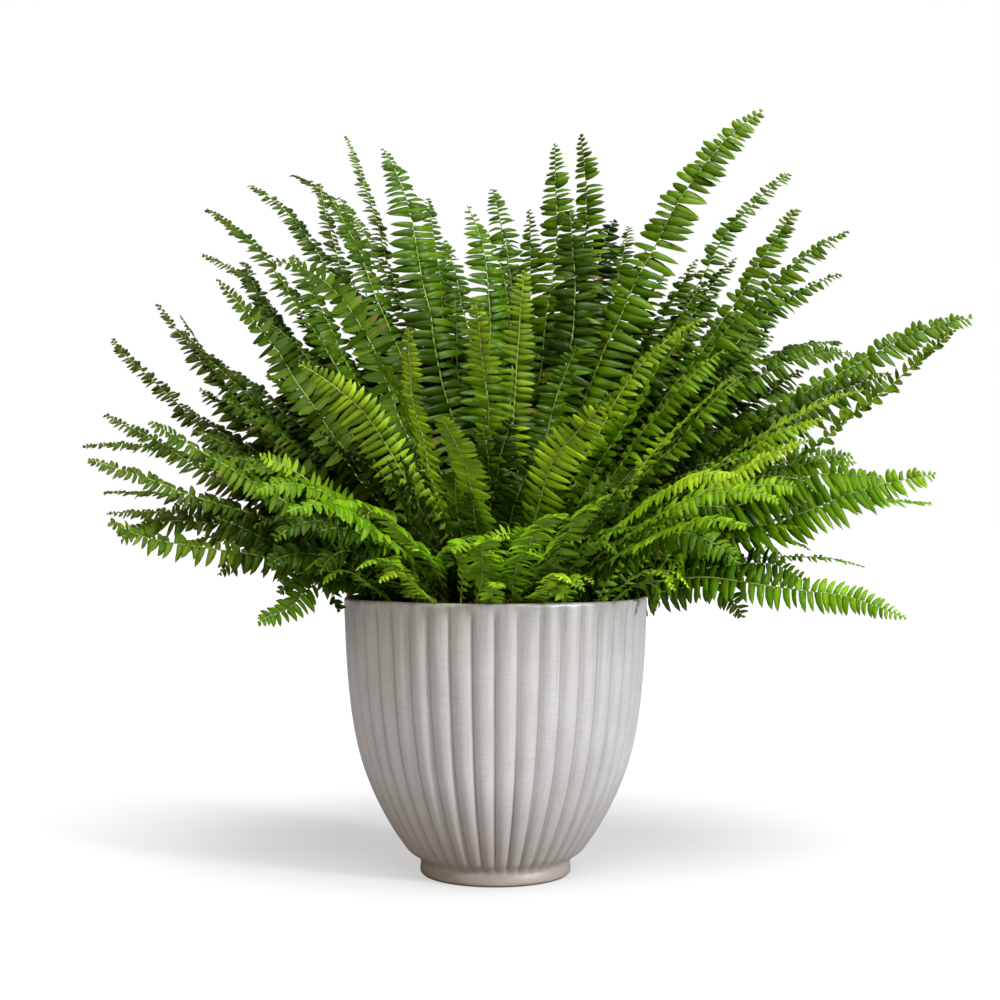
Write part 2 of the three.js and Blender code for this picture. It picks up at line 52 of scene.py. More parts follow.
# Sizes, in millimetres
LOBES = 44
COLUMNS_PER_LOBE = 8
POT_OUTSIDE = [
    # radius, height, depth of the creases between the lobes
    (0, 2.2, 0), (60, 2.2, 0), (70, 1.6, 0), (73, 0.5, 0), (75, 0, 0), (77.6, 0.5, 0),
    (79.2, 2.2, 0), (79.6, 5, 0), (79.2, 9, 0), (78.7, 12, 0), (78.6, 14, 0.2), (80.6, 16.5, 1.0),
    (84.5, 20, 1.9), (92, 25, 2.6), (98, 33, 2.9), (106.5, 45, 3.1), (115.5, 60, 3.3),
    (127.5, 83, 3.5), (138.5, 110, 3.6), (146.3, 138, 3.6), (152, 170, 3.5), (155.6, 202, 3.4),
    (158, 235, 3.3), (159.2, 262, 3.2), (159.8, 276, 2.9), (160, 282, 2.3), (160, 285, 1.4),
    (160, 287.5, 0.5), (159.8, 289, 0.1),
]
POT_INSIDE = [
    (159, 290.3, 0), (157.4, 291, 0), (155, 291, 0), (152.6, 290.4, 0), (151.4, 289, 0),
    (151, 286, 0), (149.6, 268, 0), (146, 210, 0), (122, 95, 0), (74, 26, 0), (0, 26, 0),
]
SOIL_Z = 262
SOIL_PROFILE = [
    (0, 30, 0), (72, 30, 0), (120, 98, 0), (143.6, 205, 0), (147.6, 252, 0), (147.2, 257, 0),
    (144, 259.4, 0),
]

# Fronds: the ring where roots stand, the gap between them, and the rounds and push that part them
ROOT_OUT, ROOT_IN, ROOT_GAP, ROOT_LIMIT, ROOT_ROUNDS, ROOT_PUSH = 108, 6, 14, 126, 80, 0.3
# A rib's first stretch, as a share of its chord, and how far up it aims
LAUNCH, LIFT_FLAT, LIFT_STEEP = 0.3, 1.25, 0.15
STEM_START, RIB_STEPS = 3, 40

# By side: node number, tip x y z, middle x z, turn towards the front in degrees, age from 0 (new)
# to 1 (old), width. Rows that share a number share a node and a root.
SIDES = {
    "left": [
        (1, -375, -130, 370, -270, 338, 50, 0.6, 0.7), (2, -425, 60, 380, -295, 365, 35, 0.7, 0.6),
        (2, -450, 150, 405, -305, 382, 20, 0.8, 0.5), (3, -415, -60, 435, -290, 392, 40, 0.55, 0.6),
        (4, -460, 90, 455, -320, 430, 30, 0.65, 0.5), (4, -440, 140, 580, -330, 470, 45, 0.95, 0.5),
        (5, -415, 10, 485, -292, 410, 40, 0.75, 0.6), (5, -282, 0, 499, -208, 446, 30, 0.9, 0.7),
        (6, -370, 60, 610, -297, 512, 30, 0.75, 0.6), (6, -325, -40, 585, -262, 485, 5, 0.8, 0.6),
        (6, -292, 60, 538, -232, 466, 30, 0.9, 0.6), (7, -275, -110, 612, -210, 520, 60, 0.45, 0.85),
        (7, -234, 0, 579, -162, 493, 30, 0.6, 0.8), (8, -313, 40, 712, -212, 590, 25, 0.6, 0.65),
        (9, -338, 190, 690, -233, 565, 30, 0.75, 0.5), (9, -233, 200, 788, -137, 622, 10, 0.5, 0.6),
        (10, -268, 100, 753, -166, 603, 30, 0.55, 0.65), (10, -234, 60, 639, -171, 545, 20, 0.7, 0.8),
        (11, -173, 160, 820, -107, 619, 10, 0.45, 0.5), (11, -190, 240, 765, -110, 614, 20, 0.7, 0.55),
        (12, -124, 110, 795, -72, 580, 35, 0.5, 1.05), (13, -222, -70, 638, -135, 538, 45, 0.55, 1.05),
        (13, -203, -40, 517, -150, 455, 30, 0.7, 0.9), (14, -190, -130, 525, -139, 483, 60, 0.05, 1.1),
        (15, -77, -260, 545, -68, 434, 20, 0.1, 0.7), (16, -328, -170, 466, -225, 397, 55, 0.4, 0.7),
        (16, -250, -60, 420, -170, 390, 30, 0.8, 0.8), (17, -310, 110, 322, -216, 322, 15, 0.85, 0.6),
        (18, -230, -130, 273, -178, 312, 55, 0.6, 0.8), (19, -120, -170, 540, -70, 440, 30, 0.3, 0.8),
        (20, -222, -200, 400, -149, 384, 65, 0.25, 0.75), (20, -226, -150, 434, -180, 403, 65, 0.15, 0.8),
        (21, -186, -250, 380, -117, 360, 60, 0.35, 0.65), (21, -138, -300, 387, -86, 360, 60, 0.3, 0.6),
    ],
    "top": [
        (1, -81, 220, 760, -58, 590, 0, 0.75, 0.7), (1, -62, 270, 713, -47, 570, 0, 0.95, 0.8),
        (1, -45, 100, 620, -38, 520, 10, 0.7, 0.9), (2, -29, 10, 710, -12, 564, 30, 0.55, 0.95),
        (3, -4, 190, 765, 15, 587, 0, 0.95, 0.9), (3, 37, 110, 725, 33, 571, 0, 0.75, 0.8),
        (3, 20, 150, 640, 15, 530, 0, 0.8, 1), (4, 29, -130, 616, 20, 505, 20, 0.1, 0.8),
        (5, -18, -190, 582, -8, 466, 10, 0.15, 0.8), (6, 66, 100, 798, 60, 614, 0, 0.5, 1),
        (7, 90, 30, 790, 88, 590, 30, 0.6, 1), (8, 138, 200, 722, 107, 577, 10, 0.7, 0.9),
        (8, 163, 270, 735, 122, 576, 0, 0.85, 0.8), (8, 120, 120, 640, 90, 540, 10, 0.6, 0.9),
    ],
    "front": [
        (1, -48, -270, 463, -26, 410, 0, 0.2, 0.8), (2, 97, -230, 476, 48, 401, 60, 0, 1.1),
        (3, 60, -330, 377, 32, 350, 0, 0.4, 0.6), (3, 99, -280, 394, 71, 358, 20, 0.45, 0.6),
    ],
    "right": [
        (1, 285, 20, 814, 160, 640, 60, 0.35, 1.05), (2, 333, 130, 770, 222, 616, 50, 0.6, 0.5),
        (3, 319, 10, 705, 224, 559, 50, 0.5, 0.85), (3, 175, 40, 590, 125, 480, 30, 0.7, 1),
        (4, 364, -40, 673, 256, 573, 40, 0.6, 0.95), (5, 390, 120, 653, 271, 566, 45, 0.7, 0.5),
        (5, 407, 200, 585, 267, 526, 30, 0.95, 0.55), (6, 395, 90, 560, 274, 520, 50, 0.65, 0.8),
        (6, 302, 90, 586, 213, 504, 40, 0.6, 0.9), (7, 460, 170, 544, 298, 496, 20, 0.4, 0.7),
        (8, 362, -120, 501, 244, 438, 35, 0.15, 0.95), (8, 250, -60, 520, 180, 440, 30, 0.5, 0.9),
        (9, 504, 0, 587, 324, 498, 50, 0.45, 0.85), (10, 463, -80, 565, 360, 463, 45, 0.5, 0.85),
        (11, 371, -50, 431, 250, 403, 40, 0.5, 0.7), (11, 336, -60, 477, 262, 436, 30, 0.3, 0.9),
        (12, 291, -190, 447, 203, 392, 60, 0.15, 0.9), (12, 310, -100, 452, 250, 420, 55, 0.1, 0.8),
        (13, 482, 60, 423, 350, 373, 60, 0.4, 1.05), (14, 501, 150, 392, 324, 372, 15, 0.5, 0.6),
        (14, 364, 160, 338, 230, 340, 10, 0.7, 0.6), (15, 397, 30, 322, 268, 330, 15, 0.55, 0.6),
        (15, 416, -70, 273, 290, 302, 75, 0.5, 1), (16, 262, -210, 389, 177, 382, 60, 0.35, 0.7),
        (16, 221, -280, 366, 148, 352, 60, 0.4, 0.6), (17, 219, -240, 413, 141, 382, 60, 0.2, 0.8),
        (18, 231, -150, 512, 155, 432, 40, 0.15, 0.9), (18, 215, -20, 584, 150, 530, 30, 0.2, 0.9),
        (19, 233, -60, 547, 155, 465, 40, 0.4, 0.9), (19, 202, -100, 574, 143, 485, 40, 0.45, 0.9),
        (20, 293, -120, 404, 198, 380, 60, 0.35, 0.8), (20, 270, -60, 440, 190, 395, 55, 0.6, 0.9),
    ],
    "back": [
        (1, 330, 240, 440, 230, 400, 10, 0.6, 0.9), (1, 340, 210, 330, 225, 345, 10, 0.7, 0.8),
        (2, 230, 350, 400, 150, 380, 0, 0.6, 0.9), (2, 270, 290, 560, 185, 500, 0, 0.55, 0.9),
        (3, 90, 400, 430, 60, 400, 0, 0.5, 0.9), (3, 130, 370, 305, 85, 335, 0, 0.7, 0.9),
        (4, -70, 410, 390, -45, 380, 0, 0.6, 0.9), (4, -20, 350, 600, -15, 520, 0, 0.45, 0.9),
        (5, -210, 350, 450, -140, 410, 0, 0.5, 0.9), (5, -160, 370, 300, -105, 335, 0, 0.7, 0.9),
        (6, -320, 260, 400, -220, 385, 10, 0.6, 0.9), (6, -250, 290, 590, -170, 510, 0, 0.55, 0.9),
    ],
}
FRONDS = [
    (f"{side}_{number:02}", *numbers) for side, rows in SIDES.items() for number, *numbers in rows
]


# Node trees
def maths(operation):
    """A method that makes a maths node from a wire and what stands on its right."""
    return lambda self, other: self.kit.sum(operation, self, other)


class Wire:
    """A socket in a node tree. Sums written with wires become maths nodes."""

    def __init__(self, kit, socket):
        self.kit, self.socket = kit, socket

    def __rsub__(self, other):
        return self.kit.sum("SUBTRACT", other, self)

    __add__ = __radd__ = maths("ADD")
    __mul__ = __rmul__ = maths("MULTIPLY")
    __sub__ = maths("SUBTRACT")
    __truediv__ = maths("DIVIDE")
    __pow__ = maths("POWER")


def size_of(value):
    """How many numbers a value or a wire holds."""
    if isinstance(value, Wire):
        return {"VECTOR": 3, "RGBA": 4}.get(value.socket.type, 1)
    return len(value) if isinstance(value, (tuple, Vector)) else 1


class Kit:
    """A node tree that is filled one node at a time."""

    def __init__(self, tree):
        self.tree = tree

    def node(self, kind, inputs=None, **settings):
        made = self.tree.nodes.new(kind)
        for name, value in settings.items():
            setattr(made, name, value)
        for name, value in (inputs or {}).items():
            self.feed(made, name, value)
        return made

    def feed(self, node, name, value):
        if isinstance(name, int):
            socket = node.inputs[name]
        else:
            socket = next(s for s in node.inputs if s.enabled and s.name == name)
        if isinstance(value, Wire):
            self.tree.links.new(value.socket, socket)
        else:
            socket.default_value = value

    def out(self, node, name=0):
        shown = [s for s in node.outputs if s.enabled]
        found = shown[name] if isinstance(name, int) else next(s for s in shown if s.name == name)
        return Wire(self, found)

    def get(self, kind, inputs=None, out=0, **settings):
        return self.out(self.node(kind, inputs, **settings), out)

    def sum(self, operation, *values):
        vectors = [size_of(v) > 1 for v in values]
        if not any(vectors):
            return self.get("ShaderNodeMath", dict(enumerate(values)), operation=operation)
        if operation == "MULTIPLY" and not all(vectors):
            vector, number = values if vectors[0] else values[::-1]
            return self.get("ShaderNodeVectorMath", {0: vector, "Scale": number}, operation="SCALE")
        return self.get("ShaderNodeVectorMath", dict(enumerate(values)), operation=operation)

    unit = partialmethod(sum, "NORMALIZE")
    dot = partialmethod(sum, "DOT_PRODUCT")
    cross = partialmethod(sum, "CROSS_PRODUCT")

    def parts(self, vector):
        return [Wire(self, s) for s in self.node("ShaderNodeSeparateXYZ", {0: vector}).outputs]

    def join(self, x, y, z):
        return self.get("ShaderNodeCombineXYZ", {0: x, 1: y, 2: z})

    def upward(self, height):
        return self.join(0.0, 0.0, height)

    def mix(self, share, a, b):
        kind = {1: "FLOAT", 3: "VECTOR", 4: "RGBA"}[size_of(a)]
        return self.get("ShaderNodeMix", {"Factor": share, "A": a, "B": b}, data_type=kind)

    def paint(self, share, colour, tone):
        """A colour with a share of a plain tone over it."""
        return self.mix(share, colour, (*tone, 1.0))

    def ramp(self, value, low=0.0, high=1.0, to_low=0.0, to_high=1.0, smooth=False):
        kind = "SMOOTHSTEP" if smooth else "LINEAR"
        return self.get("ShaderNodeMapRange", {
            "Value": value, "From Min": low, "From Max": high, "To Min": to_low, "To Max": to_high,
        }, interpolation_type=kind)


class ShapeKit(Kit):
    """A Geometry Nodes tree with named inputs, listed by kind, and one geometry out."""

    def __init__(self, name, **inputs):
        super().__init__(bpy.data.node_groups.new(name, "GeometryNodeTree"))
        faces = self.tree.interface
        faces.new_socket("Geometry", in_out="OUTPUT", socket_type="NodeSocketGeometry")
        for kind, labels in {"Geometry": "geometry", **inputs}.items():
            for label in labels.split():
                faces.new_socket(label, in_out="INPUT", socket_type="NodeSocket" + kind)
        source = self.tree.nodes.new("NodeGroupInput")
        self.given = SimpleNamespace(**{s.name: Wire(self, s) for s in source.outputs if s.name})
        self.index = self.get("GeometryNodeInputIndex")
        self.position = self.get("GeometryNodeInputPosition")

    def facing_up(self):
        return self.parts(self.get("GeometryNodeInputNormal"))[2]

    def chance(self, low, high, salt, kind="FLOAT"):
        """A random value for each point; the salt keeps the draws of one seed apart."""
        return self.get("FunctionNodeRandomValue", {
            "Min": low, "Max": high, "ID": self.index, "Seed": self.given.seed + salt,
        }, data_type=kind)

    def drift(self, where, seed, scale):
        """Smooth noise in three directions, about zero."""
        return self.get("ShaderNodeTexNoise", {
            "Vector": where, "W": seed, "Scale": scale, "Detail": 1.0,
        }, out="Color", noise_dimensions="4D") - (0.5, 0.5, 0.5)

    def rotated(self, vector, axis, angle):
        return self.get("ShaderNodeVectorRotate", {
            "Vector": vector, "Axis": axis, "Angle": angle,
        }, rotation_type="AXIS_ANGLE")

    def aimed(self, ahead, up):
        return self.get("FunctionNodeAxesToRotation", {
            "Primary Axis": ahead, "Secondary Axis": up,
        }, primary_axis="X", secondary_axis="Z")

    def keep(self, geometry, name, value, kind="FLOAT"):
        return self.get("GeometryNodeStoreNamedAttribute", {
            "Geometry": geometry, "Name": name, "Value": value,
        }, data_type=kind, domain="POINT")

    def kept(self, name, kind="FLOAT"):
        return self.get("GeometryNodeInputNamedAttribute", {"Name": name}, data_type=kind)

    def moved(self, geometry, offset):
        return self.get("GeometryNodeSetPosition", {"Geometry": geometry, "Offset": offset})

    def placed(self, points, shapes, rotation, scale, which=0):
        """One of a collection's shapes on each point, as plain geometry."""
        shape = self.get("GeometryNodeCollectionInfo", {
            "Collection": shapes, "Separate Children": True, "Reset Children": True,
        })
        copies = self.get("GeometryNodeInstanceOnPoints", {
            "Points": points, "Instance": shape, "Pick Instance": True, "Instance Index": which,
            "Rotation": rotation, "Scale": scale,
        })
        return self.get("GeometryNodeRealizeInstances", {"Geometry": copies})

    def smooth(self, geometry):
        return self.get("GeometryNodeSetShadeSmooth", {"Geometry": geometry})

    def dressed(self, geometry, material):
        return self.get("GeometryNodeSetMaterial", {"Geometry": geometry, "Material": material})

    def joined(self, *geometries):
        node = self.tree.nodes.new("GeometryNodeJoinGeometry")
        for geometry in geometries:
            self.tree.links.new(geometry.socket, node.inputs[0])
        return Wire(self, node.outputs[0])

    def finish(self, *geometries):
        end = self.tree.nodes.new("NodeGroupOutput")
        self.tree.links.new(self.joined(*geometries).socket, end.inputs[0])
        return self.tree


def add_step(piece, tree, **values):
    """Gives a piece a node tree as a modifier, with each named input set by its identifier."""
    step = piece.modifiers.new(tree.name, "NODES")
    step.node_group = tree
    for item in tree.interface.items_tree:
        if item.in_out == "INPUT" and item.name in values:
            step[item.identifier] = values.pop(item.name)
    if values:
        raise ValueError(f"{tree.name} has no input {sorted(values)}")


def settle(pieces):
    """Turns each piece's steps into its plain mesh."""
    bpy.context.view_layer.update()
    graph = bpy.context.evaluated_depsgraph_get()
    meshes = [
        bpy.data.meshes.new_from_object(
            piece.evaluated_get(graph), preserve_all_data_layers=True, depsgraph=graph,
        )
        for piece in pieces
    ]
    for piece, mesh in zip(pieces, meshes):
        piece.modifiers.clear()
        piece.data = mesh
        mesh.name = piece.name
        for name in ("leaf_up", "leaf_long"):
            if name in mesh.attributes:
                mesh.attributes.remove(mesh.attributes[name])


def new_piece(name, mesh=None):
    piece = bpy.data.objects.new(name, mesh or bpy.data.meshes.new(name))
    bpy.context.scene.collection.objects.link(piece)
    return piece


# Small shapes that repeat
LEAFLET_KINDS, LEAFLET_UNEVEN = 5, 0.08
LEAFLET_STATIONS = [
    # along, half width towards the frond's tip, half width towards its root, bow towards the tip,
    # height of the ridge
    (0.0, 0.42, 0.36, 0.0, 0.08),
    (0.12, 0.66, 0.49, 0.0, 0.34),
    (0.46, 0.53, 0.50, -0.02, 0.42),
    (0.78, 0.34, 0.33, 0.07, 0.28),
    (1.0, 0.0, 0.0, 0.24, 0.0),
]


def mesh_of(form, name):
    mesh = bpy.data.meshes.new(name)
    form.to_mesh(mesh)
    form.free()
    return mesh


def leaflet(name, side, shuffle):
    """A closed leaflet, one long and one wide; side is 1 left of the rib and -1 right of it."""
    form = bmesh.new()
    marks = form.verts.layers.float_vector.new("leaf")
    under = form.faces.layers.float.new("under")
    arched, bow = (0.8 + 0.5 * shuffle.random() for _ in range(2))
    rings = []
    for along, fore, aft, lift, ridge in LEAFLET_STATIONS[:-1]:
        fore, aft = (half * (1 + LEAFLET_UNEVEN * (shuffle.random() - 0.5)) for half in (fore, aft))
        ring = []
        for across, height in ((fore, 0.0), (0, ridge * arched), (-aft, 0.0)):
            vert = form.verts.new((along, -side * (lift * bow + across), height))
            vert[marks] = (along, across * 2, 0.0)
            ring.append(vert)
        rings.append(ring)
    tip = form.verts.new((1.0, -side * LEAFLET_STATIONS[-1][3] * bow, 0.0))
    tip[marks] = (1.0, 0.0, 0.0)
    form.faces.new(rings[0])
    for i in range(3):
        j = (i + 1) % 3
        for a, b in zip(rings, rings[1:]):
            form.faces.new((a[i], a[j], b[j], b[i]))[under] = i // 2
        form.faces.new((rings[-1][i], rings[-1][j], tip))[under] = i // 2
    bmesh.ops.recalc_face_normals(form, faces=form.faces)
    # Only the rim between the upper side and the underside is a sharp edge
    for edge in form.edges:
        edge.smooth = not all(abs(v[marks][1]) > 0.05 or v is tip for v in edge.verts)
    return mesh_of(form, name)


def spike(name):
    """A thin closed scale, one long."""
    form = bmesh.new()
    ring, bend = (
        [form.verts.new(p) for p in points] for points in (
            ((0, 0.09, 0), (0, 0, 0.05), (0, -0.09, 0), (0, 0, -0.03)),
            ((0.5, 0.07, 0.1), (0.5, 0, 0.13), (0.5, -0.07, 0.1), (0.5, 0, 0.07)),
        )
    )
    tip = form.verts.new((1, 0, 0.35))
    form.faces.new(ring)
    for i in range(4):
        j = (i + 1) % 4
        form.faces.new((ring[i], ring[j], bend[j], bend[i]))
        form.faces.new((bend[i], bend[j], tip))
    bmesh.ops.recalc_face_normals(form, faces=form.faces)
    return mesh_of(form, name)


def crumb(name, shuffle, stretch):
    """A closed lump with twenty faces, about one across."""
    form = bmesh.new()
    bmesh.ops.create_icosphere(form, subdivisions=1, radius=0.5)
    for vert in form.verts:
        vert.co *= 0.75 + 0.5 * shuffle.random()
        vert.co.x *= stretch
    return mesh_of(form, name)


def tray(name, meshes):
    """A collection outside the scene, for shapes that trees pick from in the order of their names."""
    made = bpy.data.collections.new(name)
    for mesh in meshes:
        made.objects.link(bpy.data.objects.new(mesh.name, mesh))
    return made


shuffle = random.Random(11)
leaflets = tray("leaflets", [
    leaflet(f"leaflet_{kind}_{word}", side, shuffle)
    for kind in range(LEAFLET_KINDS) for word, side in (("a", 1), ("b", -1))
])
spikes = tray("scales", [spike("scale")])
crumbs = tray("crumbs", [crumb(f"crumb_{i}", shuffle, s) for i, s in enumerate((1.0, 1.2, 0.8, 2.6))])


# Trees for the shapes
# Points of a rib's curve, points of its mesh along it, and its sides
RIB_FINE, RIB_POINTS, RIB_SIDES = 64, 44, 5
# In metres: what a leaflet's width has beyond its share of the length, how far its foot sinks into
# the rib, and the least and greatest length of a scale
WIDTH_MORE, FOOT_SINK, SCALE_LEAST, SCALE_MOST = 0.0021, 0.0002, 0.0022, 0.0042
# How much closer leaflets stand at the tip of a blade, and the least share of their length there
CROWDING, TIP_LENGTH = 0.44, 0.12
# Points nearer than this, in metres, are one; faces that face up by more than this are flat
WELD, FLAT = 0.00001, 0.6


def turned_tree():
    """A form turned about the vertical axis, with lobes round it and lumps on its flat top."""
    kit = ShapeKit(
        "turned_form", Object="profile", Int="columns", Material="material",
        Float="lobes lobe_roundness wander lump_height lump_size seed",
    )
    given = kit.given
    profile = kit.get("GeometryNodeObjectInfo", {"Object": given.profile}, out="Geometry")
    rows = kit.get("GeometryNodeAttributeDomainSize", {"Geometry": profile}, out="Point Count")
    grid = kit.get("GeometryNodeMeshGrid", {
        "Size X": 1.0, "Size Y": 1.0, "Vertices X": given.columns + 1, "Vertices Y": rows,
    })
    x, y, _ = kit.parts(kit.position + (0.5, 0.5, 0.0))
    row = kit.sum("ROUND", y * (rows - 1))

    def sampled(value, kind):
        return kit.get("GeometryNodeSampleIndex", {
            "Geometry": profile, "Value": value, "Index": row,
        }, data_type=kind, domain="POINT")

    crease = sampled(kit.kept("crease"), "FLOAT")
    radius, _, height = kit.parts(sampled(kit.position, "FLOAT_VECTOR"))
    across = kit.sum("ABSOLUTE", kit.sum("FRACT", x * given.lobes) * 2 - 1)
    deep = (across ** given.lobe_roundness) * 0.88 + kit.ramp(across, 0.8, 1.0) * 0.12
    angle = x * (2 * math.pi)
    where = kit.join(kit.sum("COSINE", angle), kit.sum("SINE", angle), height * 2.5)
    drift_turn, drift_deep, drift_out = kit.parts(kit.drift(where, given.seed, 5.5))
    steady = kit.ramp(crease, 0.0, 0.0015)
    turned = angle + drift_turn * given.wander * steady
    depth = crease * (1.45 + drift_deep * 0.6)
    reach = radius - depth * deep + drift_out * given.wander * 0.02 * steady
    spot = kit.join(kit.sum("COSINE", turned) * reach, kit.sum("SINE", turned) * reach, height)
    form = kit.keep(grid, "crease", deep * kit.ramp(crease, 0.0, 0.003))
    form = kit.get("GeometryNodeSetPosition", {"Geometry": form, "Position": spot})
    form = kit.get("GeometryNodeMergeByDistance", {"Geometry": form, "Distance": WELD})
    lumps = kit.get("ShaderNodeTexNoise", {
        "Vector": kit.position, "Scale": given.lump_size, "Detail": 4.0, "Roughness": 0.6,
    })
    rise = (lumps - 0.5) * given.lump_height * kit.ramp(kit.facing_up(), 0.5, 0.95)
    form = kit.smooth(kit.moved(form, kit.upward(rise)))
    form = kit.get("GeometryNodeRealizeInstances", {"Geometry": form})
    return kit.finish(kit.dressed(form, given.material))


def frond_tree():
    """A rib along a curve, with leaflets in two rows on it and scales on its stem."""
    kit = ShapeKit(
        "frond", Vector="root launch far tip", Int="pairs scales seed", Collection="leaflets scale_shapes",
        Float="turn blade_start half_width leaflet_width lean_base lean_tip sag droop weight twist arch "
        "curl ragged wobble stem_radius tip_radius age", Material="leaf_material rib_material",
    )
    given = kit.given

    heading = kit.unit((given.tip - given.root) * (1.0, 1.0, 0.0))
    head_x, head_y, _ = kit.parts(heading)
    level_side = kit.join(head_y * -1, head_x, 0.0)

    # The rib
    line = kit.get("GeometryNodeCurvePrimitiveBezierSegment", {
        "Resolution": RIB_FINE, "Start": given.root, "Start Handle": given.launch,
        "End Handle": given.far, "End": given.tip,
    }, mode="POSITION")
    line = kit.get("GeometryNodeResampleCurve", {"Curve": line, "Count": RIB_POINTS})
    share = kit.get("GeometryNodeSplineParameter", out="Factor")
    along = kit.get("GeometryNodeInputTangent")
    freedom = kit.ramp(share, 0.0, 0.25) * kit.ramp(share, 1.0, 0.8)
    sway = kit.drift(kit.position, given.seed * 0.37, 11.0) * (given.wobble * freedom)
    bowed = kit.sum("SINE", (kit.ramp(share, 0.5, 1.0) ** 1.6) * math.pi) * given.arch
    arch = kit.unit(kit.cross(along, level_side)) * bowed
    end = kit.ramp(share, 0.88, 1.0)
    curl = (heading * (end * end) - kit.upward(end * end * end * 0.3)) * given.curl
    line = kit.moved(line, sway + arch + curl)
    ring = kit.get("GeometryNodeCurvePrimitiveCircle", {"Resolution": RIB_SIDES, "Radius": 1.0})
    rib = kit.get("GeometryNodeCurveToMesh", {
        "Curve": kit.keep(line, "along", share), "Profile Curve": ring, "Fill Caps": True,
        "Scale": kit.mix(share ** 0.7, given.stem_radius, given.tip_radius),
    })
    rib = kit.dressed(rib, given.rib_material)

    def station(share):
        """A place on the rib, the rib's direction there, and the blade's side and upper face."""
        spot = kit.node("GeometryNodeSampleCurve", {"Curves": line, "Factor": share}, mode="FACTOR")
        along = kit.unit(kit.out(spot, "Tangent"))
        side = kit.unit(level_side - along * kit.dot(level_side, along))
        side = kit.rotated(side, along, given.turn * (share * 0.4 + 0.6))
        return kit.out(spot, "Position"), along, side, kit.cross(along, side)

    # The leaflets: even numbers on the left and odd ones on the right, half a gap further on
    count = given.pairs * 2
    is_right = kit.sum("MODULO", kit.index, 2)
    step = (kit.index + 0.6) / count
    crowded = step * (1 + CROWDING - step * CROWDING)
    place, along, side, up = station(given.blade_start + (1 - given.blade_start) * crowded)
    outward = side * (1 - is_right * 2)
    untidy = given.age * 0.6 + 0.4
    lean = kit.mix(crowded ** 2, given.lean_base, given.lean_tip) + kit.chance(-0.2, 0.2, 1) * untidy
    lift = given.sag + kit.chance(-0.3, 0.3, 2) * untidy
    growth = kit.unit(outward + along * lean + up * lift)
    face = kit.unit(up - growth * kit.dot(up, growth))
    twist = (given.twist + kit.chance(-0.8, 0.8, 3) * untidy) * (is_right * 2 - 1)
    face = kit.rotated(face, growth, twist)
    fullness = kit.sum("SINE", kit.ramp(crowded, 0.0, 0.3) * (math.pi / 2)) * 0.55 + 0.45
    taper = kit.sum("MAXIMUM", (1 - crowded ** 6.0) ** 0.8, TIP_LENGTH)
    stunted = 1 - given.ragged * kit.chance(0.0, 1.0, 4) ** 2
    length = given.half_width * fullness * taper * kit.chance(0.92, 1.08, 11) * stunted
    width = (length * given.leaflet_width + WIDTH_MORE) * kit.chance(0.86, 1.14, 13)
    spots = kit.get("GeometryNodePoints", {"Count": count, "Position": place - up * FOOT_SINK})
    spots = kit.keep(spots, "leaf_up", face, "FLOAT_VECTOR")
    spots = kit.keep(spots, "leaf_long", length)
    spots = kit.keep(spots, "tint", kit.chance(0.0, 1.0, 5))
    spots = kit.keep(spots, "along", crowded)
    missing = kit.sum("LESS_THAN", kit.chance(0.0, 1.0, 12), given.ragged * 0.16)
    spots = kit.get("GeometryNodeDeleteGeometry", {"Geometry": spots, "Selection": missing}, domain="POINT")
    kind = kit.chance(0, LEAFLET_KINDS - 1, 6, "INT") * 2 + is_right
    size = kit.join(length, width, width)
    leaves = kit.placed(spots, given.leaflets, kit.aimed(growth, face), size, kind)
    leaf_along, _, _ = kit.parts(kit.kept("leaf", "FLOAT_VECTOR"))
    reach = kit.kept("leaf_long") * (leaf_along ** 2)
    bend = reach * given.droop * (kit.kept("tint") * 1.2 + 0.4)
    hang = kit.upward(reach * given.weight)
    leaves = kit.moved(leaves, kit.kept("leaf_up", "FLOAT_VECTOR") * (bend * -1) - hang)
    leaves = kit.dressed(leaves, given.leaf_material)

    # Scales and hairs on the stem
    place, along, side, _ = station((kit.chance(0.01, 1.0, 7) ** 1.6) * given.blade_start)
    around = kit.rotated(side, along, kit.chance(0.0, 2 * math.pi, 8))
    growth = kit.unit(around + along * kit.chance(0.2, 1.4, 9))
    size = kit.chance(SCALE_LEAST, SCALE_MOST, 10)
    spots = kit.get("GeometryNodePoints", {"Count": given.scales, "Position": place})
    spots = kit.keep(spots, "along", 0.0)
    hairs = kit.placed(spots, given.scale_shapes, kit.aimed(growth, along), kit.join(size, size, size))
    hairs = kit.dressed(hairs, given.rib_material)
    frond = kit.keep(kit.joined(rib, leaves, hairs), "age", given.age)
    return kit.finish(given.geometry, kit.smooth(frond))


def scatter_tree():
    """Small lumps laid over the flat top of a form."""
    kit = ShapeKit(
        "scatter", Object="ground", Float="density smallest largest sink", Int="seed",
        Collection="shapes", Material="material",
    )
    given = kit.given
    spots = kit.get("GeometryNodeDistributePointsOnFaces", {
        "Mesh": kit.get("GeometryNodeObjectInfo", {"Object": given.ground}, out="Geometry"),
        "Selection": kit.sum("GREATER_THAN", kit.facing_up(), FLAT),
        "Density": given.density, "Seed": given.seed,
    })
    size = kit.mix(kit.chance(0.0, 1.0, 1) ** 3, given.smallest, given.largest)
    spots = kit.keep(spots, "tint", kit.chance(0.0, 1.0, 2))
    kind = kit.chance(0, 3, 3, "INT")
    angles = kit.chance((-0.5, -0.5, 0.0), (0.5, 0.5, 6.28), 4, "FLOAT_VECTOR")
    rotation = kit.get("FunctionNodeEulerToRotation", {0: angles})
    lumps = kit.placed(spots, given.shapes, rotation, kit.join(size, size, size * 0.7), kind)
    lumps = kit.moved(lumps, kit.upward(given.sink * -1))
    return kit.finish(kit.dressed(lumps, given.material))


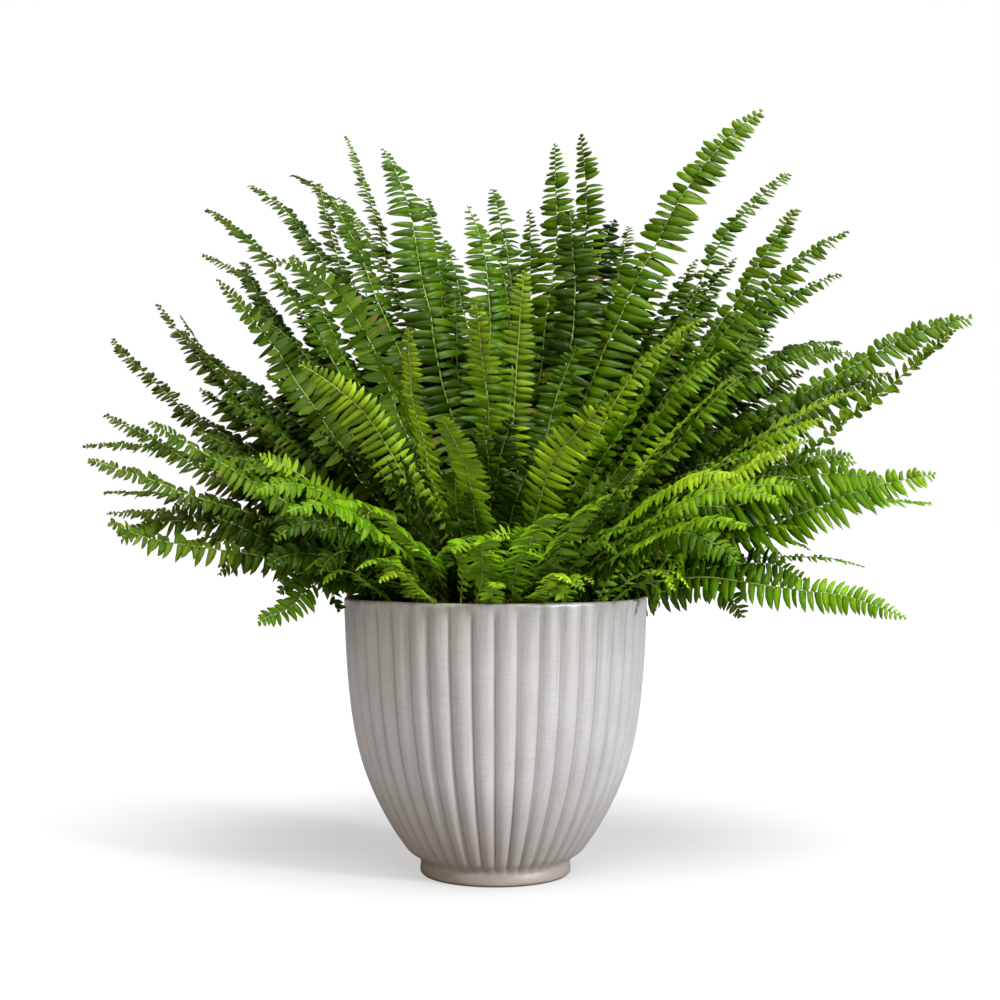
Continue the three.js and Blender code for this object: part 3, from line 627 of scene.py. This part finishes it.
# Finishes
def attribute(kit, name, out="Fac"):
    return kit.get("ShaderNodeAttribute", out=out, attribute_name=name)


def object_place(kit):
    return kit.get("ShaderNodeTexCoord", out="Object")


def noise(kit, scale, detail=2.0, roughness=0.5, where=None):
    return kit.get("ShaderNodeTexNoise", {
        "Vector": where or object_place(kit), "Scale": scale, "Detail": detail, "Roughness": roughness,
    }, out="Fac")


def bumps(kit, height, distance, strength):
    return kit.get("ShaderNodeBump", {"Height": height, "Distance": distance, "Strength": strength})


def principled(kit, colour, roughness, normal, shine=0.5):
    return kit.get("ShaderNodeBsdfPrincipled", {
        "Base Color": colour, "Roughness": roughness, "Normal": normal, "Specular IOR Level": shine,
    })


def leaf_group():
    """Colour, shine and veins of a leaflet, from its age and its place on the frond, with painted light and
    shade from its place in the plant.
    """
    tree = bpy.data.node_groups.new("leaflet_surface", "ShaderNodeTree")
    kit = Kit(tree)
    age, tint, along, under = (attribute(kit, name) for name in ("age", "tint", "along", "under"))
    leaf_along, leaf_across, _ = kit.parts(attribute(kit, "leaf", "Vector"))
    across = kit.sum("ABSOLUTE", leaf_across)
    cloud = noise(kit, 9.0)
    ripe = age + 0.10 + (cloud - 0.5) * 0.4 - (along ** 2) * 0.30 + (tint - 0.5) * 0.16
    ripe = kit.ramp(ripe, 0.0, 1.0)
    colour = kit.mix(kit.ramp(ripe, 0.0, 0.38) ** 0.5, (*NEW, 1.0), (*GROWN, 1.0))
    colour = kit.paint(kit.ramp(ripe, 0.38, 1.0), colour, OLD)
    # Paler along the midrib and side veins, and on the underside
    vein_phase = kit.sum("FRACT", leaf_along * 15.0 - across * 1.6)
    vein = kit.ramp(kit.sum("ABSOLUTE", vein_phase - 0.5), 0.36, 0.5, smooth=True)
    midrib = kit.ramp(across, 0.16, 0.03, smooth=True)
    colour = kit.mix(midrib * 0.55 + vein * 0.12, colour, kit.paint(0.5, colour, (0.26, 0.34, 0.012)))
    colour = kit.mix(under * 0.5, colour, kit.paint(0.5, colour, (0.11, 0.17, 0.006)))
    # Painted light and shade by place: browner and darker on the left, lighter low down, darker at the
    # leaflet's foot and deep inside
    x, _, height = kit.parts(object_place(kit))
    colour = kit.paint(kit.ramp(x, -0.14, -0.40) * 0.5, colour, (0.060, 0.072, 0.004))
    lit = kit.ramp(height, 0.30, 0.54, 1.68, 0.76) * kit.ramp(leaf_along, 0.0, 0.3, 0.75, 1.03)
    lit = lit * (1 - kit.ramp(age, 0.84, 0.94) * kit.ramp(height, 0.32, 0.44) * 0.62)
    lit = lit * (1 - kit.ramp(x, -0.06, -0.38) * 0.27)
    bright = kit.get("ShaderNodeHueSaturation", {
        "Color": colour, "Hue": 0.5 + (tint - 0.5) * -0.02,
        # Painted shade: darker towards the frond's root
        "Value": (tint * 0.8 + 0.64) * kit.ramp(along, 0.0, 0.4, 0.5, 1.0) * lit,
    })
    # A few old leaflets turn straw at the tip
    worn = kit.ramp(tint, 0.93, 0.97) * kit.ramp(age, 0.45, 0.8)
    worn = worn * kit.ramp(leaf_along + noise(kit, 400.0) * 0.4, 0.75, 1.1)
    surface = {
        "Color": kit.paint(worn, bright, (0.20, 0.12, 0.04)),
        "Roughness": kit.ramp(noise(kit, 160.0), 0.3, 0.7, 0.21, 0.33) + under * 0.3,
        "Height": vein * -0.4 + kit.ramp(across, 0.0, 0.25) * 0.6 + noise(kit, 900.0) * 0.25,
    }
    end = tree.nodes.new("NodeGroupOutput")
    for label, wire in surface.items():
        kind = "NodeSocketColor" if label == "Color" else "NodeSocketFloat"
        tree.interface.new_socket(label, in_out="OUTPUT", socket_type=kind)
        tree.links.new(wire.socket, end.inputs[label])
    return tree


class FinishKit(Kit):
    """The tree of a new material."""

    def __init__(self, name):
        self.material = bpy.data.materials.new(name)
        self.material.use_nodes = True
        super().__init__(self.material.node_tree)
        self.tree.nodes.clear()

    def show(self, shader):
        end = self.node("ShaderNodeOutputMaterial")
        self.tree.links.new(shader.socket, end.inputs["Surface"])
        return self.material


def leaf_material(name, through, shine):
    """A leaflet that lets some light through."""
    kit = FinishKit(name)
    surface = kit.node("ShaderNodeGroup", node_tree=leaf_surface)
    colour = kit.out(surface, "Color")
    bump = bumps(kit, kit.out(surface, "Height"), 0.0003, 0.6)
    front = principled(kit, colour, kit.out(surface, "Roughness"), bump, shine)
    glow = kit.get("ShaderNodeBsdfTranslucent", {
        "Color": kit.get("ShaderNodeGamma", {"Color": colour, "Gamma": 0.7}), "Normal": bump,
    })
    return kit.show(kit.get("ShaderNodeMixShader", {"Fac": through, 1: front, 2: glow}))


def rib_material(name, fresh, woody):
    """A green rib that is brown and flecked towards its root."""
    kit = FinishKit(name)
    along = attribute(kit, "along")
    age = attribute(kit, "age")
    fleck = kit.ramp(noise(kit, 500.0, 3.0), 0.45, 0.62)
    brown = kit.ramp(along + (noise(kit, 60.0) - 0.5) * 0.2 - age * 0.12, 0.24, 0.0)
    colour = kit.mix(kit.sum("MAXIMUM", brown, fleck * 0.35), (*fresh, 1.0), (*woody, 1.0))
    bump = bumps(kit, noise(kit, 700.0, 3.0), 0.0004, 0.5)
    return kit.show(principled(kit, colour, kit.ramp(fleck, 0.0, 1.0, 0.42, 0.65), bump))


def stoneware_material():
    """Warm grey stoneware, browner in the creases and towards the foot as painted shade, with painted
    shadows under the rim and at the foot.
    """
    kit = FinishKit("pot_stoneware")
    crease = attribute(kit, "crease")
    where = object_place(kit)
    _, _, height = kit.parts(where)
    outward = kit.unit(where * (1.0, 1.0, 0.0))

    def stretched(around, upright, detail, roughness):
        """Noise with one scale round the pot and one up its side."""
        return noise(kit, 1.0, detail, roughness, outward * around + where * (0.0, 0.0, upright))

    cloud = noise(kit, 14.0, 4.0, 0.6)
    grain = noise(kit, 700.0, 3.0, 0.7)
    speck = kit.get("ShaderNodeTexVoronoi", {"Vector": where, "Scale": 420.0}, out="Distance")
    streak = stretched(26.0, 9.0, 3.0, 0.55)
    scratch = stretched(150.0, 22.0, 3.0, 0.6)
    brushed = stretched(7.0, 700.0, 2.0, 0.5)
    # Painted shade: browner and darker towards the foot
    low = kit.ramp(height, 0.11, 0.0)
    # Painted shade in the creases and low down, mixed with random streaks, for a browner tone
    crease_shade_and_streaks = kit.ramp(crease * 0.9 + (streak - 0.5) * 0.5 + low * 0.25, 0.35, 1.1)
    # Painted shadow of the leaves, in patches under the rim
    marks = kit.ramp(height, 0.225, 0.292) * kit.ramp(streak + cloud, 0.75, 1.2)
    colour = kit.mix(kit.ramp(cloud, 0.3, 0.7), (0.41, 0.39, 0.386, 1.0), (0.48, 0.47, 0.476, 1.0))
    for share, tone in (
        (crease_shade_and_streaks * 0.45, (0.25, 0.195, 0.15)),
        # Painted shade in the deepest creases
        (kit.ramp(crease, 0.75, 1.0) * 0.45, (0.15, 0.115, 0.085)),
        (kit.ramp(scratch, 0.54, 0.72) * 0.4, (0.19, 0.175, 0.15)),
        (low * 0.8, (0.285, 0.23, 0.175)),
        (kit.ramp(grain, 0.35, 0.75) * 0.28, (0.22, 0.20, 0.19)),
        (kit.ramp(speck, 0.16, 0.08) * 0.35, (0.14, 0.12, 0.105)),
        # Painted shadow of the leaves in olive patches under the rim, a painted contact shadow where the
        # foot meets the floor, and fine rings
        (marks * 0.6, (0.17, 0.165, 0.12)),
        (kit.ramp(height, 0.0028, 0.0012), (0.012, 0.010, 0.009)),
        (kit.ramp(brushed, 0.5, 0.75) * 0.2, (0.20, 0.18, 0.165)),
    ):
        colour = kit.paint(share, colour, tone)
    tall = brushed * 0.3 + grain * 0.5 + kit.ramp(speck, 0.0, 0.3) * 0.3 + streak * 0.4 + scratch * 0.4
    rough = kit.ramp(cloud + grain, 0.6, 1.4, 0.32, 0.45)
    return kit.show(principled(kit, colour, rough, bumps(kit, tall, 0.0005, 0.55), 0.9))


def soil_material():
    """Dark damp peat with lighter fibres."""
    kit = FinishKit("soil_peat")
    tint = attribute(kit, "tint")
    coarse = noise(kit, 60.0, 5.0, 0.65)
    fine = noise(kit, 420.0, 4.0, 0.7)
    colour = kit.mix(kit.ramp(coarse, 0.3, 0.7), (0.012, 0.008, 0.005, 1.0), (0.05, 0.03, 0.018, 1.0))
    colour = kit.paint(kit.ramp(fine, 0.6, 0.8) * 0.6, colour, (0.13, 0.08, 0.045))
    colour = kit.paint(kit.ramp(tint, 0.6, 1.0) * 0.6, colour, (0.10, 0.06, 0.035))
    bump = bumps(kit, coarse + fine * 0.5, 0.0015, 0.8)
    return kit.show(principled(kit, colour, kit.ramp(fine, 0.2, 0.8, 0.75, 0.98), bump))


def paper_material():
    """Plain white for the floor, which the camera sees lighter than the light it gives back."""
    kit = FinishKit("studio_white")
    seen = kit.get("ShaderNodeLightPath", out="Is Camera Ray")
    return kit.show(kit.get("ShaderNodeBsdfPrincipled", {
        "Base Color": (0.30, 0.30, 0.30, 1.0), "Roughness": 0.9, "Specular IOR Level": 0.0,
        "Emission Color": (1.0, 1.0, 1.0, 1.0), "Emission Strength": seen * 0.53,
    }))


NEW, GROWN, OLD = (0.250, 0.400, 0.006), (0.079, 0.186, 0.001), (0.017, 0.054, 0.001)
leaf_surface = leaf_group()
leaf_finish, rib_finish = {}, {}
for slot, through, shine, fresh, woody in (
    ("frond_young", 0.24, 0.20, (0.36, 0.46, 0.09), (0.15, 0.08, 0.03)),
    ("frond_mid", 0.21, 0.14, (0.25, 0.35, 0.06), (0.12, 0.066, 0.026)),
    ("frond_old", 0.18, 0.09, (0.17, 0.24, 0.045), (0.09, 0.047, 0.02)),
):
    leaf_finish[slot] = leaf_material(f"{slot}_leaf", through, shine)
    rib_finish[slot] = rib_material(f"{slot}_rib", fresh, woody)
stoneware = stoneware_material()
peat = soil_material()
paper = paper_material()


# Where the fronds grow
def root_spots(rows):
    """A root for each node: flat fronds near the wall, upright ones inside, then moved apart."""
    spots = {}
    for node, x, y, z, *_ in rows:
        if node not in spots:
            steep = Vector((x, y, z - SOIL_Z)).normalized().z
            radius = ROOT_OUT + (ROOT_IN - ROOT_OUT) * steep
            spots[node] = Vector((x, y)).normalized() * radius
    for _ in range(ROOT_ROUNDS):
        moves = {name: Vector((0, 0)) for name in spots}
        for a in spots:
            for b in spots:
                gap = spots[a] - spots[b]
                if a != b and gap.length < ROOT_GAP:
                    moves[a] += gap.normalized() * (ROOT_GAP - gap.length) * ROOT_PUSH
        for name, move in moves.items():
            spot = spots[name] + move
            spots[name] = spot * min(1, ROOT_LIMIT / spot.length)
    return spots


def rib_of(row, spot):
    """The four points of a frond's rib, its turn in radians and its length, from its row."""
    _, x, y, z, mid_x, mid_z, turn, age, width = row
    root = Vector((*spot, SOIL_Z + STEM_START))
    tip = Vector((x, y, z))
    before = math.hypot(mid_x - root.x, mid_z - root.z)
    after = math.hypot(x - mid_x, z - mid_z)
    at = before / (before + after)
    mid = Vector((mid_x, root.y + (y - root.y) * at, mid_z))
    chord = tip - root
    steep = max(0, chord.z / chord.length)
    lift = LIFT_FLAT + (LIFT_STEEP - LIFT_FLAT) * steep
    aim = ((mid - root).normalized() + Vector((0, 0, lift))).normalized()
    launch = root + aim * LAUNCH * chord.length
    left = 1 - at
    far = (mid - root * left**3 - launch * 3 * left * left * at - tip * at**3) / (3 * left * at * at)
    heading = Vector((chord.x, chord.y, 0)).normalized()
    points = [
        root * (1 - t)**3 + launch * 3 * t * (1 - t)**2 + far * 3 * t * t * (1 - t) + tip * t**3
        for t in (i / RIB_STEPS for i in range(RIB_STEPS + 1))
    ]
    length = sum((b - a).length for a, b in zip(points, points[1:]))
    return root, launch, far, tip, math.radians(turn) * heading.x, length, age, width


def slot_of(age):
    return "frond_young" if age < 0.25 else "frond_mid" if age < 0.6 else "frond_old"


# Nodes that leave the common rule. How far a rib's end curls over, in metres:
CURLED = {"left_12": 0.005, "left_13": 0.006, "left_09": 0.012, "left_10": 0.010, "right_01": 0.003}
# How far a rib's outer half arches up, in metres:
ARCHED = {
    "left_01": 0.0, "left_02": 0.005, "left_03": 0.0, "left_08": 0.010, "left_09": 0.012,
    "left_10": 0.007, "left_12": 0.012, "left_13": 0.020, "left_18": -0.018, "top_02": 0.012,
    "right_01": 0.008, "right_02": 0.012, "right_04": 0.008, "right_05": 0.006, "right_07": 0.002,
    "right_09": 0.010, "right_10": 0.011, "right_13": 0.018, "right_15": 0.005,
}
# How much broader a blade is than its row says:
BREADTH = {
    "right_02": 1.25, "right_05": 1.5, "right_12": 0.84, "right_15": 0.74, "right_16": 0.84,
    "right_17": 0.84, "right_20": 0.84,
}
# The share of the rib that is bare stem:
BARE = {"front_02": 0.36}
# Blades that are rolled towards the viewer, in degrees about the rib:
ROLLED = {"left_14": -120, "front_02": 152}
# For all others: the share of bare stem, the length in mm of a full frond, where the left side
# ends, and how steep an upright frond is
BARE_STEM, FULL_LENGTH, LEFT_EDGE, UPRIGHT = 0.1, 300, -300, 0.55
# Ages: of the young, when a blade is fully broad, and of the oldest fronds that aren't inside
YOUNG, GROWN_AGE, OLDEST_OUTSIDE = 0.2, 0.35, 0.84
# Leaflet width as a share of its length: on young fronds, on upright ones behind, on the others
SLIM, PLUMP, COMMON = 0.165, 0.24, 0.205
# The gap between pairs of leaflets in mm, what a broad blade adds to it, half such a blade's width
# in metres, and the fewest pairs
PAIR_GAP, PAIR_MORE, HALF_WIDTH, FEWEST_PAIRS = 4.9, 4.5, 0.034, 10


def grow(piece, row, spot, seed, slot="frond_mid", **changes):
    """Adds one frond to a piece."""
    node = row[0]
    root, launch, far, tip, turn, length, age, width = rib_of(row, spot)
    start = BARE.get(node, BARE_STEM)
    size = min(1.0, length / FULL_LENGTH)
    steep = max(0.0, (tip - root).normalized().z)
    broad = width * size ** 0.5 * (0.7 + 0.3 * min(1, age / GROWN_AGE)) * BREADTH.get(node, 1.0)
    # Further to the left, fronds are given a higher age, whose darker colour is painted shade, and broader
    # leaflets
    left = min(1.0, max(0.0, tip.x / LEFT_EDGE)) if age > YOUNG else 0.0
    plump = SLIM if age < YOUNG else PLUMP if tip.y > -40 and steep > UPRIGHT else COMMON
    oldest = 1.0 if node in ("inner", "shade") else OLDEST_OUTSIDE
    if node in ROLLED:
        turn = math.radians(ROLLED[node])
    elif tip.y < -60 and steep > UPRIGHT:
        turn += math.pi
    # The age given below is raised on the left as painted shade
    values = dict(
        root=root * MM, launch=launch * MM, far=far * MM, tip=tip * MM, turn=turn, blade_start=start,
        pairs=max(FEWEST_PAIRS, round(length * (1 - start) / (PAIR_GAP + PAIR_MORE * broad))),
        half_width=HALF_WIDTH * broad, leaflet_width=plump + 0.05 * left,
        lean_base=0.05 + 0.17 * steep, lean_tip=0.34, sag=-0.02 - 0.06 * age,
        droop=0.12 + 0.08 * age, weight=0.03 + 0.15 * steep,
        twist=0.2 - 0.5 * steep, arch=ARCHED.get(node, 0.016 - 0.017 * steep),
        curl=CURLED.get(node, 0.002), ragged=max(0.1, 0.75 - 0.65 * width), wobble=0.020,
        stem_radius=0.0018 * size ** 0.5, tip_radius=0.00045, age=min(oldest, age + 0.3 * left),
        scales=22, seed=seed, leaflets=leaflets, scale_shapes=spikes,
        leaf_material=leaf_finish[slot], rib_material=rib_finish[slot],
    )
    values.update(changes)
    add_step(piece, fronds_step, **values)


fronds_step = frond_tree()
turned_step = turned_tree()
scatter_step = scatter_tree()

spots = root_spots(FRONDS)
frond_pieces = {}
frond_slots = {}
for seed, row in enumerate(FRONDS):
    node = row[0]
    if node not in frond_pieces:
        frond_pieces[node] = new_piece(f"{node}_frond")
        frond_slots[node] = slot_of(row[7])
    grow(frond_pieces[node], row, spots[node], seed * 13 + 1, frond_slots[node])


# Fronds behind and between the listed ones, as above but with no node number
FILLING_FRONDS = [
    (-203, 150, 763, -168, 626, 20, 0.7, 0.6), (187, 60, 647, 115, 504, 20, 0.7, 1),
    (170, 120, 680, 105, 530, 20, 0.8, 1), (232, 90, 640, 150, 505, 20, 0.75, 1),
    (280, 120, 620, 190, 500, 30, 0.8, 1), (340, 90, 540, 245, 465, 40, 0.7, 1),
    (-160, 100, 640, -110, 520, 10, 0.8, 1), (-215, 60, 600, -150, 490, 20, 0.8, 1),
    (210, 30, 610, 134, 480, 20, 0.65, 1), (254, 150, 638, 167, 499, 20, 0.8, 0.9),
    (219, 100, 586, 134, 462, 20, 0.7, 1), (263, 60, 603, 175, 482, 35, 0.6, 1),
    (305, 80, 578, 205, 483, 40, 0.6, 1), (306, 150, 534, 213, 465, 40, 0.8, 1),
    (371, 100, 496, 275, 445, 40, 0.7, 0.95), (390, 60, 443, 291, 416, 50, 0.5, 0.9),
    (408, 0, 416, 313, 402, 50, 0.5, 1), (-312, 60, 509, -226, 443, 20, 0.9, 0.75),
    (-303, 100, 505, -220, 462, 20, 0.95, 0.75), (-323, 20, 469, -237, 415, 30, 0.9, 0.8),
    (-281, -40, 439, -203, 403, 30, 0.8, 0.8), (-288, 140, 669, -225, 545, 30, 0.7, 0.7),
    (-253, 80, 617, -190, 505, 25, 0.8, 0.85), (-332, 100, 561, -231, 484, 25, 0.85, 0.75),
    (-179, 60, 727, -125, 600, 30, 0.6, 0.8), (-222, 60, 665, -160, 540, 30, 0.7, 1),
    (-350, 90, 500, -262, 434, 30, 0.9, 0.8), (-335, 120, 522, -250, 450, 30, 0.95, 0.8),
    (225, 110, 668, 150, 530, 20, 0.75, 1), (345, 110, 672, 235, 520, 30, 0.6, 0.8),
    (-385, -40, 352, -280, 362, 45, 0.8, 0.7), (-60, 150, 696, -30, 575, 0, 0.85, 0.8),
    (268, 100, 668, 180, 540, 25, 0.75, 0.9), (-343, 60, 581, -290, 521, 30, 0.8, 0.6),
    (11, 150, 700, 18, 580, 0, 0.75, 0.9),
]

INNER_FRONDS, SKIRT_FRONDS, SIDE_FRONDS, RIM_LEAVES, SHADE_FRONDS = 220, 44, 30, 10, 16
# Fronds in one piece, and the step from one seed to the next
INNER_SHARE, SKIRT_SHARE, SEED_STEP = 19, 11, 7
# Inner fronds: the step to the next listed frond, how far apart in mm the tips of neighbours may be,
# how far a tip strays, and the share of them that is old
STRIDE, NEIGHBOUR, STRAY, OLD_SHARE = 7, 240, 26, 0.84
# Shade fronds: half the span they fill, the height of the middle one, the fall of the outer ones,
# and where a frond's middle lies
SHADE_SPAN, SHADE_TOP, SHADE_FALL, SHADE_OUT, SHADE_UP = 290, 610, 150, 0.62, 0.68
# The height in mm at which rim fronds and hanging sprays pass the rim
RIM_TOP, SPRAY_TOP = 308, 303
inner_pieces = []
dice = random.Random(7)
between = dice.uniform


def added(name):
    """A new piece for fronds that only this script has."""
    inner_pieces.append(new_piece(name))
    return inner_pieces[-1]


def tip_of(row):
    return Vector(row[1:4])


def ring(angle, radius):
    """A place round the pot's axis."""
    return Vector((math.cos(angle), math.sin(angle))) * radius


def angle_of(i, count, loose):
    return 2 * math.pi * (i + between(-loose, loose)) / count


def rim_row(spot, tip, tip_z, share, mid_z, turn, age, width):
    """A row for a frond at the rim, whose middle is that share of the way from its root to its tip."""
    return ("rim", tip.x, tip.y, tip_z, spot.x + (tip.x - spot.x) * share, mid_z, turn, age, width)


# Shorter fronds between the listed ones, each aimed between a frond and a neighbour of it
for i in range(INNER_FRONDS):
    if i % INNER_SHARE == 0:
        piece = added(f"inner_fronds_{i // INNER_SHARE + 1}")
    first = FRONDS[i * STRIDE % len(FRONDS)]
    second = dice.choice([r for r in FRONDS if (tip_of(r) - tip_of(first)).length < NEIGHBOUR])
    share, shorter = between(0.3, 0.7), between(0.5, 0.82)
    spot = spots[first[0]].lerp(spots[second[0]], share) * between(0.85, 1.1)
    root = Vector((*spot, SOIL_Z))
    jitter = Vector([between(-STRAY, STRAY) for _ in range(3)])
    tip = root.lerp(tip_of(first).lerp(tip_of(second), share), shorter) + jitter
    middle = Vector((first[4], first[5])).lerp(Vector((second[4], second[5])), share)
    middle = Vector((root.x, root.z)).lerp(middle, shorter)
    turn = first[6] + between(-45, 45)
    age = between(0.85, 1.0) if dice.random() < OLD_SHARE else between(0.2, 0.6)
    wide = between(0.6, 0.85) if tip.y < -60 else between(0.85, 1.1)
    grow(piece, ("inner", *tip, *middle, turn, age, wide), spot, 3000 + i * SEED_STEP, scales=0)
filling = added("filling_fronds")
shade = added("shade_fronds")
for i, numbers in enumerate(FILLING_FRONDS):
    row = ("filling", *numbers)
    grow(filling, row, root_spots([row])["filling"], 4500 + i * SEED_STEP, scales=0)
# Broad dark fronds that stand behind the crown
for i in range(SHADE_FRONDS):
    along = i / (SHADE_FRONDS - 1) * 2 - 1
    tip = Vector((SHADE_SPAN * along, between(100, 170), SHADE_TOP - SHADE_FALL * along * along))
    middle = (tip.x * SHADE_OUT, SOIL_Z + (tip.z - SOIL_Z) * SHADE_UP)
    row = ("shade", *tip, *middle, 0, 0.95, 1.15)
    grow(shade, row, root_spots([row])["shade"], 4800 + i * SEED_STEP, scales=0, leaflet_width=0.27)
# Fronds that spread over the rim
for i in range(SKIRT_FRONDS):
    if i % SKIRT_SHARE == 0:
        piece = added(f"rim_fronds_{i // SKIRT_SHARE + 1}")
    angle = angle_of(i, SKIRT_FRONDS, 0.3)
    reach, tip_z = between(165, 245), between(302, 366)
    spot = ring(angle, between(100, 122))
    age = between(0.1, 0.5)
    mid_z = max(RIM_TOP, tip_z - 6)
    row = rim_row(spot, ring(angle, reach), tip_z, 0.45, mid_z, between(-30, 40), age, 0.65)
    grow(piece, row, spot, 5000 + i * SEED_STEP, scales=6)

# Small fronds that lie along the rim
along_rim = added("fronds_along_rim")
for i in range(SIDE_FRONDS):
    angle = angle_of(i, SIDE_FRONDS, 0.3)
    onward = angle + dice.choice((-1, 1)) * between(0.55, 1.1)
    spot = ring(angle, between(96, 118))
    tip = ring(onward, between(160, 215))
    tip_z = between(308, 350)
    row = rim_row(spot, tip, tip_z, 0.5, tip_z, between(0, 50), between(0.1, 0.6), 0.6)
    grow(along_rim, row, spot, 6000 + i * SEED_STEP, scales=6)

# Short sprays that hang over the rim
hanging = added("hanging_sprays")
for i in range(RIM_LEAVES):
    angle = angle_of(i, RIM_LEAVES, 0.4)
    reach, tip_z = between(163, 178), between(276, 298)
    spot = ring(angle, between(116, 128))
    wide = between(0.45, 0.85)
    tip = ring(angle, reach)
    row = rim_row(spot, tip, tip_z, 0.6, SPRAY_TOP, between(-50, 50), between(0.4, 0.95), wide)
    grow(
        hanging, row, spot, 7000 + i * SEED_STEP, scales=4, pairs=dice.randint(4, 7), half_width=0.016,
        leaflet_width=0.34, blade_start=0.55,
    )


# Pot and soil
def smooth_profile(points, longest):
    """More points along a profile, on a curve through the given ones."""
    smooth = []
    for i in range(len(points) - 1):
        p0, p1, p2, p3 = (Vector(points[min(max(k, 0), len(points) - 1)]) for k in range(i - 1, i + 3))
        steps = max(1, math.ceil((Vector(p2[:2]) - Vector(p1[:2])).length / longest))
        for k in range(steps):
            t = k / steps
            if steps == 1:
                smooth.append(p1)
                continue
            near = (p2 - p0) * (p2 - p1).length / ((p2 - p0).length or 1)
            ahead = (p3 - p1) * (p2 - p1).length / ((p3 - p1).length or 1)
            smooth.append(
                p1 * (2 * t**3 - 3 * t * t + 1) + near * (t**3 - 2 * t * t + t)
                + p2 * (3 * t * t - 2 * t**3) + ahead * (t**3 - t * t)
            )
    return smooth + [Vector(points[-1])]


def profile_object(name, points):
    points = [Vector(p) for p in points]
    mesh = bpy.data.meshes.new(name)
    mesh.from_pydata([(p[0] * MM, 0, p[1] * MM) for p in points], [], [])
    mesh.attributes.new("crease", "FLOAT", "POINT").data.foreach_set("value", [p[2] * MM for p in points])
    return bpy.data.objects.new(name, mesh)


outside = smooth_profile(POT_OUTSIDE, 6)
pot_profile = profile_object("pot_profile", outside + POT_INSIDE)
pot = new_piece("pot_fluted")
add_step(
    pot, turned_step, profile=pot_profile, columns=LOBES * COLUMNS_PER_LOBE, lobes=float(LOBES),
    lobe_roundness=2.0, wander=0.012, lump_height=0.0, lump_size=1.0, seed=3.0, material=stoneware,
)
soil_top = [(r, SOIL_Z - 1.5 + 1.0 * math.cos(r / 144 * 1.4), 0) for r in range(141, 0, -3)]
soil_profile = profile_object("soil_profile", [*SOIL_PROFILE, *soil_top, (0, SOIL_Z, 0)])
soil = new_piece("soil_bed")
add_step(
    soil, turned_step, profile=soil_profile, columns=180, lobes=1.0, lobe_roundness=1.0, wander=0.0,
    lump_height=0.010, lump_size=70.0, seed=1.0, material=peat,
)
settle([pot, soil, *frond_pieces.values(), *inner_pieces])
loose = new_piece("soil_crumbs")
add_step(
    loose, scatter_step, ground=soil, density=26000.0, smallest=0.0012, largest=0.0065, sink=0.0003,
    seed=5, shapes=crumbs, material=peat,
)
settle([loose])

# Every piece joins the body; the CAD parts of the pot, the soil and the listed fronds are hidden
for piece in (pot, soil, loose, *frond_pieces.values(), *inner_pieces):
    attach(piece, "root")
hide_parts("pot")
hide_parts("soil")
for node, piece in frond_pieces.items():
    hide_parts(f"frond_{node}")

# Stage, lights and camera
def studio():
    """A plain white floor."""
    mesh = bpy.data.meshes.new("floor")
    mesh.from_pydata([(-30, -6, 0), (30, -6, 0), (30, 60, 0), (-30, 60, 0)], [], [(0, 1, 2, 3)])
    mesh.materials.append(paper)
    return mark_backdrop(new_piece("floor", mesh))


def soft_sun(name, towards, spread, strength, colour=(1.0, 1.0, 1.0)):
    """Even light from one side; spread is how wide the source looks, in degrees."""
    lamp = bpy.data.lights.new(name, "SUN")
    lamp.angle = math.radians(spread)
    lamp.energy = strength
    lamp.color = colour
    holder = bpy.data.objects.new(name, lamp)
    holder.rotation_euler = Vector(towards).to_track_quat("Z", "Y").to_euler()
    bpy.context.scene.collection.objects.link(holder)


studio()
soft_sun("overhead", (0.10, -0.36, 1.0), 48, 5.2)
soft_sun("key_right", (0.82, -0.56, 0.30), 10, 3.9, (0.93, 0.965, 1.0))
soft_sun("front_left", (-0.65, -0.80, 0.35), 40, 0.85, (1.0, 0.82, 0.63))

scene = bpy.context.scene
world = bpy.data.worlds.new("studio")
world.use_nodes = True
sky = Kit(world.node_tree)
seen = sky.get("ShaderNodeLightPath", out="Is Camera Ray")
sky.feed(world.node_tree.nodes["Background"], "Color", (1.0, 1.0, 1.0, 1.0))
sky.feed(world.node_tree.nodes["Background"], "Strength", seen * 0.9 + 0.1)
scene.world = world
scene.view_settings.view_transform = "Standard"

CAMERA_HEIGHT, CAMERA_AWAY, FOCAL_PIXELS, SIDE, SENSOR = 0.370, 1.700, 1600.0, 1000.0, 36.0
POT_COLUMN, HORIZON_ROW = 495.5, 521.8
camera_data = bpy.data.cameras.new("camera")
camera_data.sensor_width = SENSOR
camera_data.lens = FOCAL_PIXELS / SIDE * SENSOR
camera = bpy.data.objects.new("camera", camera_data)
camera.location = ((SIDE / 2 - POT_COLUMN) * CAMERA_AWAY / FOCAL_PIXELS, -CAMERA_AWAY, CAMERA_HEIGHT)
camera.rotation_euler = (math.pi / 2 + math.atan((HORIZON_ROW - SIDE / 2) / FOCAL_PIXELS), 0, 0)
scene.collection.objects.link(camera)
scene.camera = camera
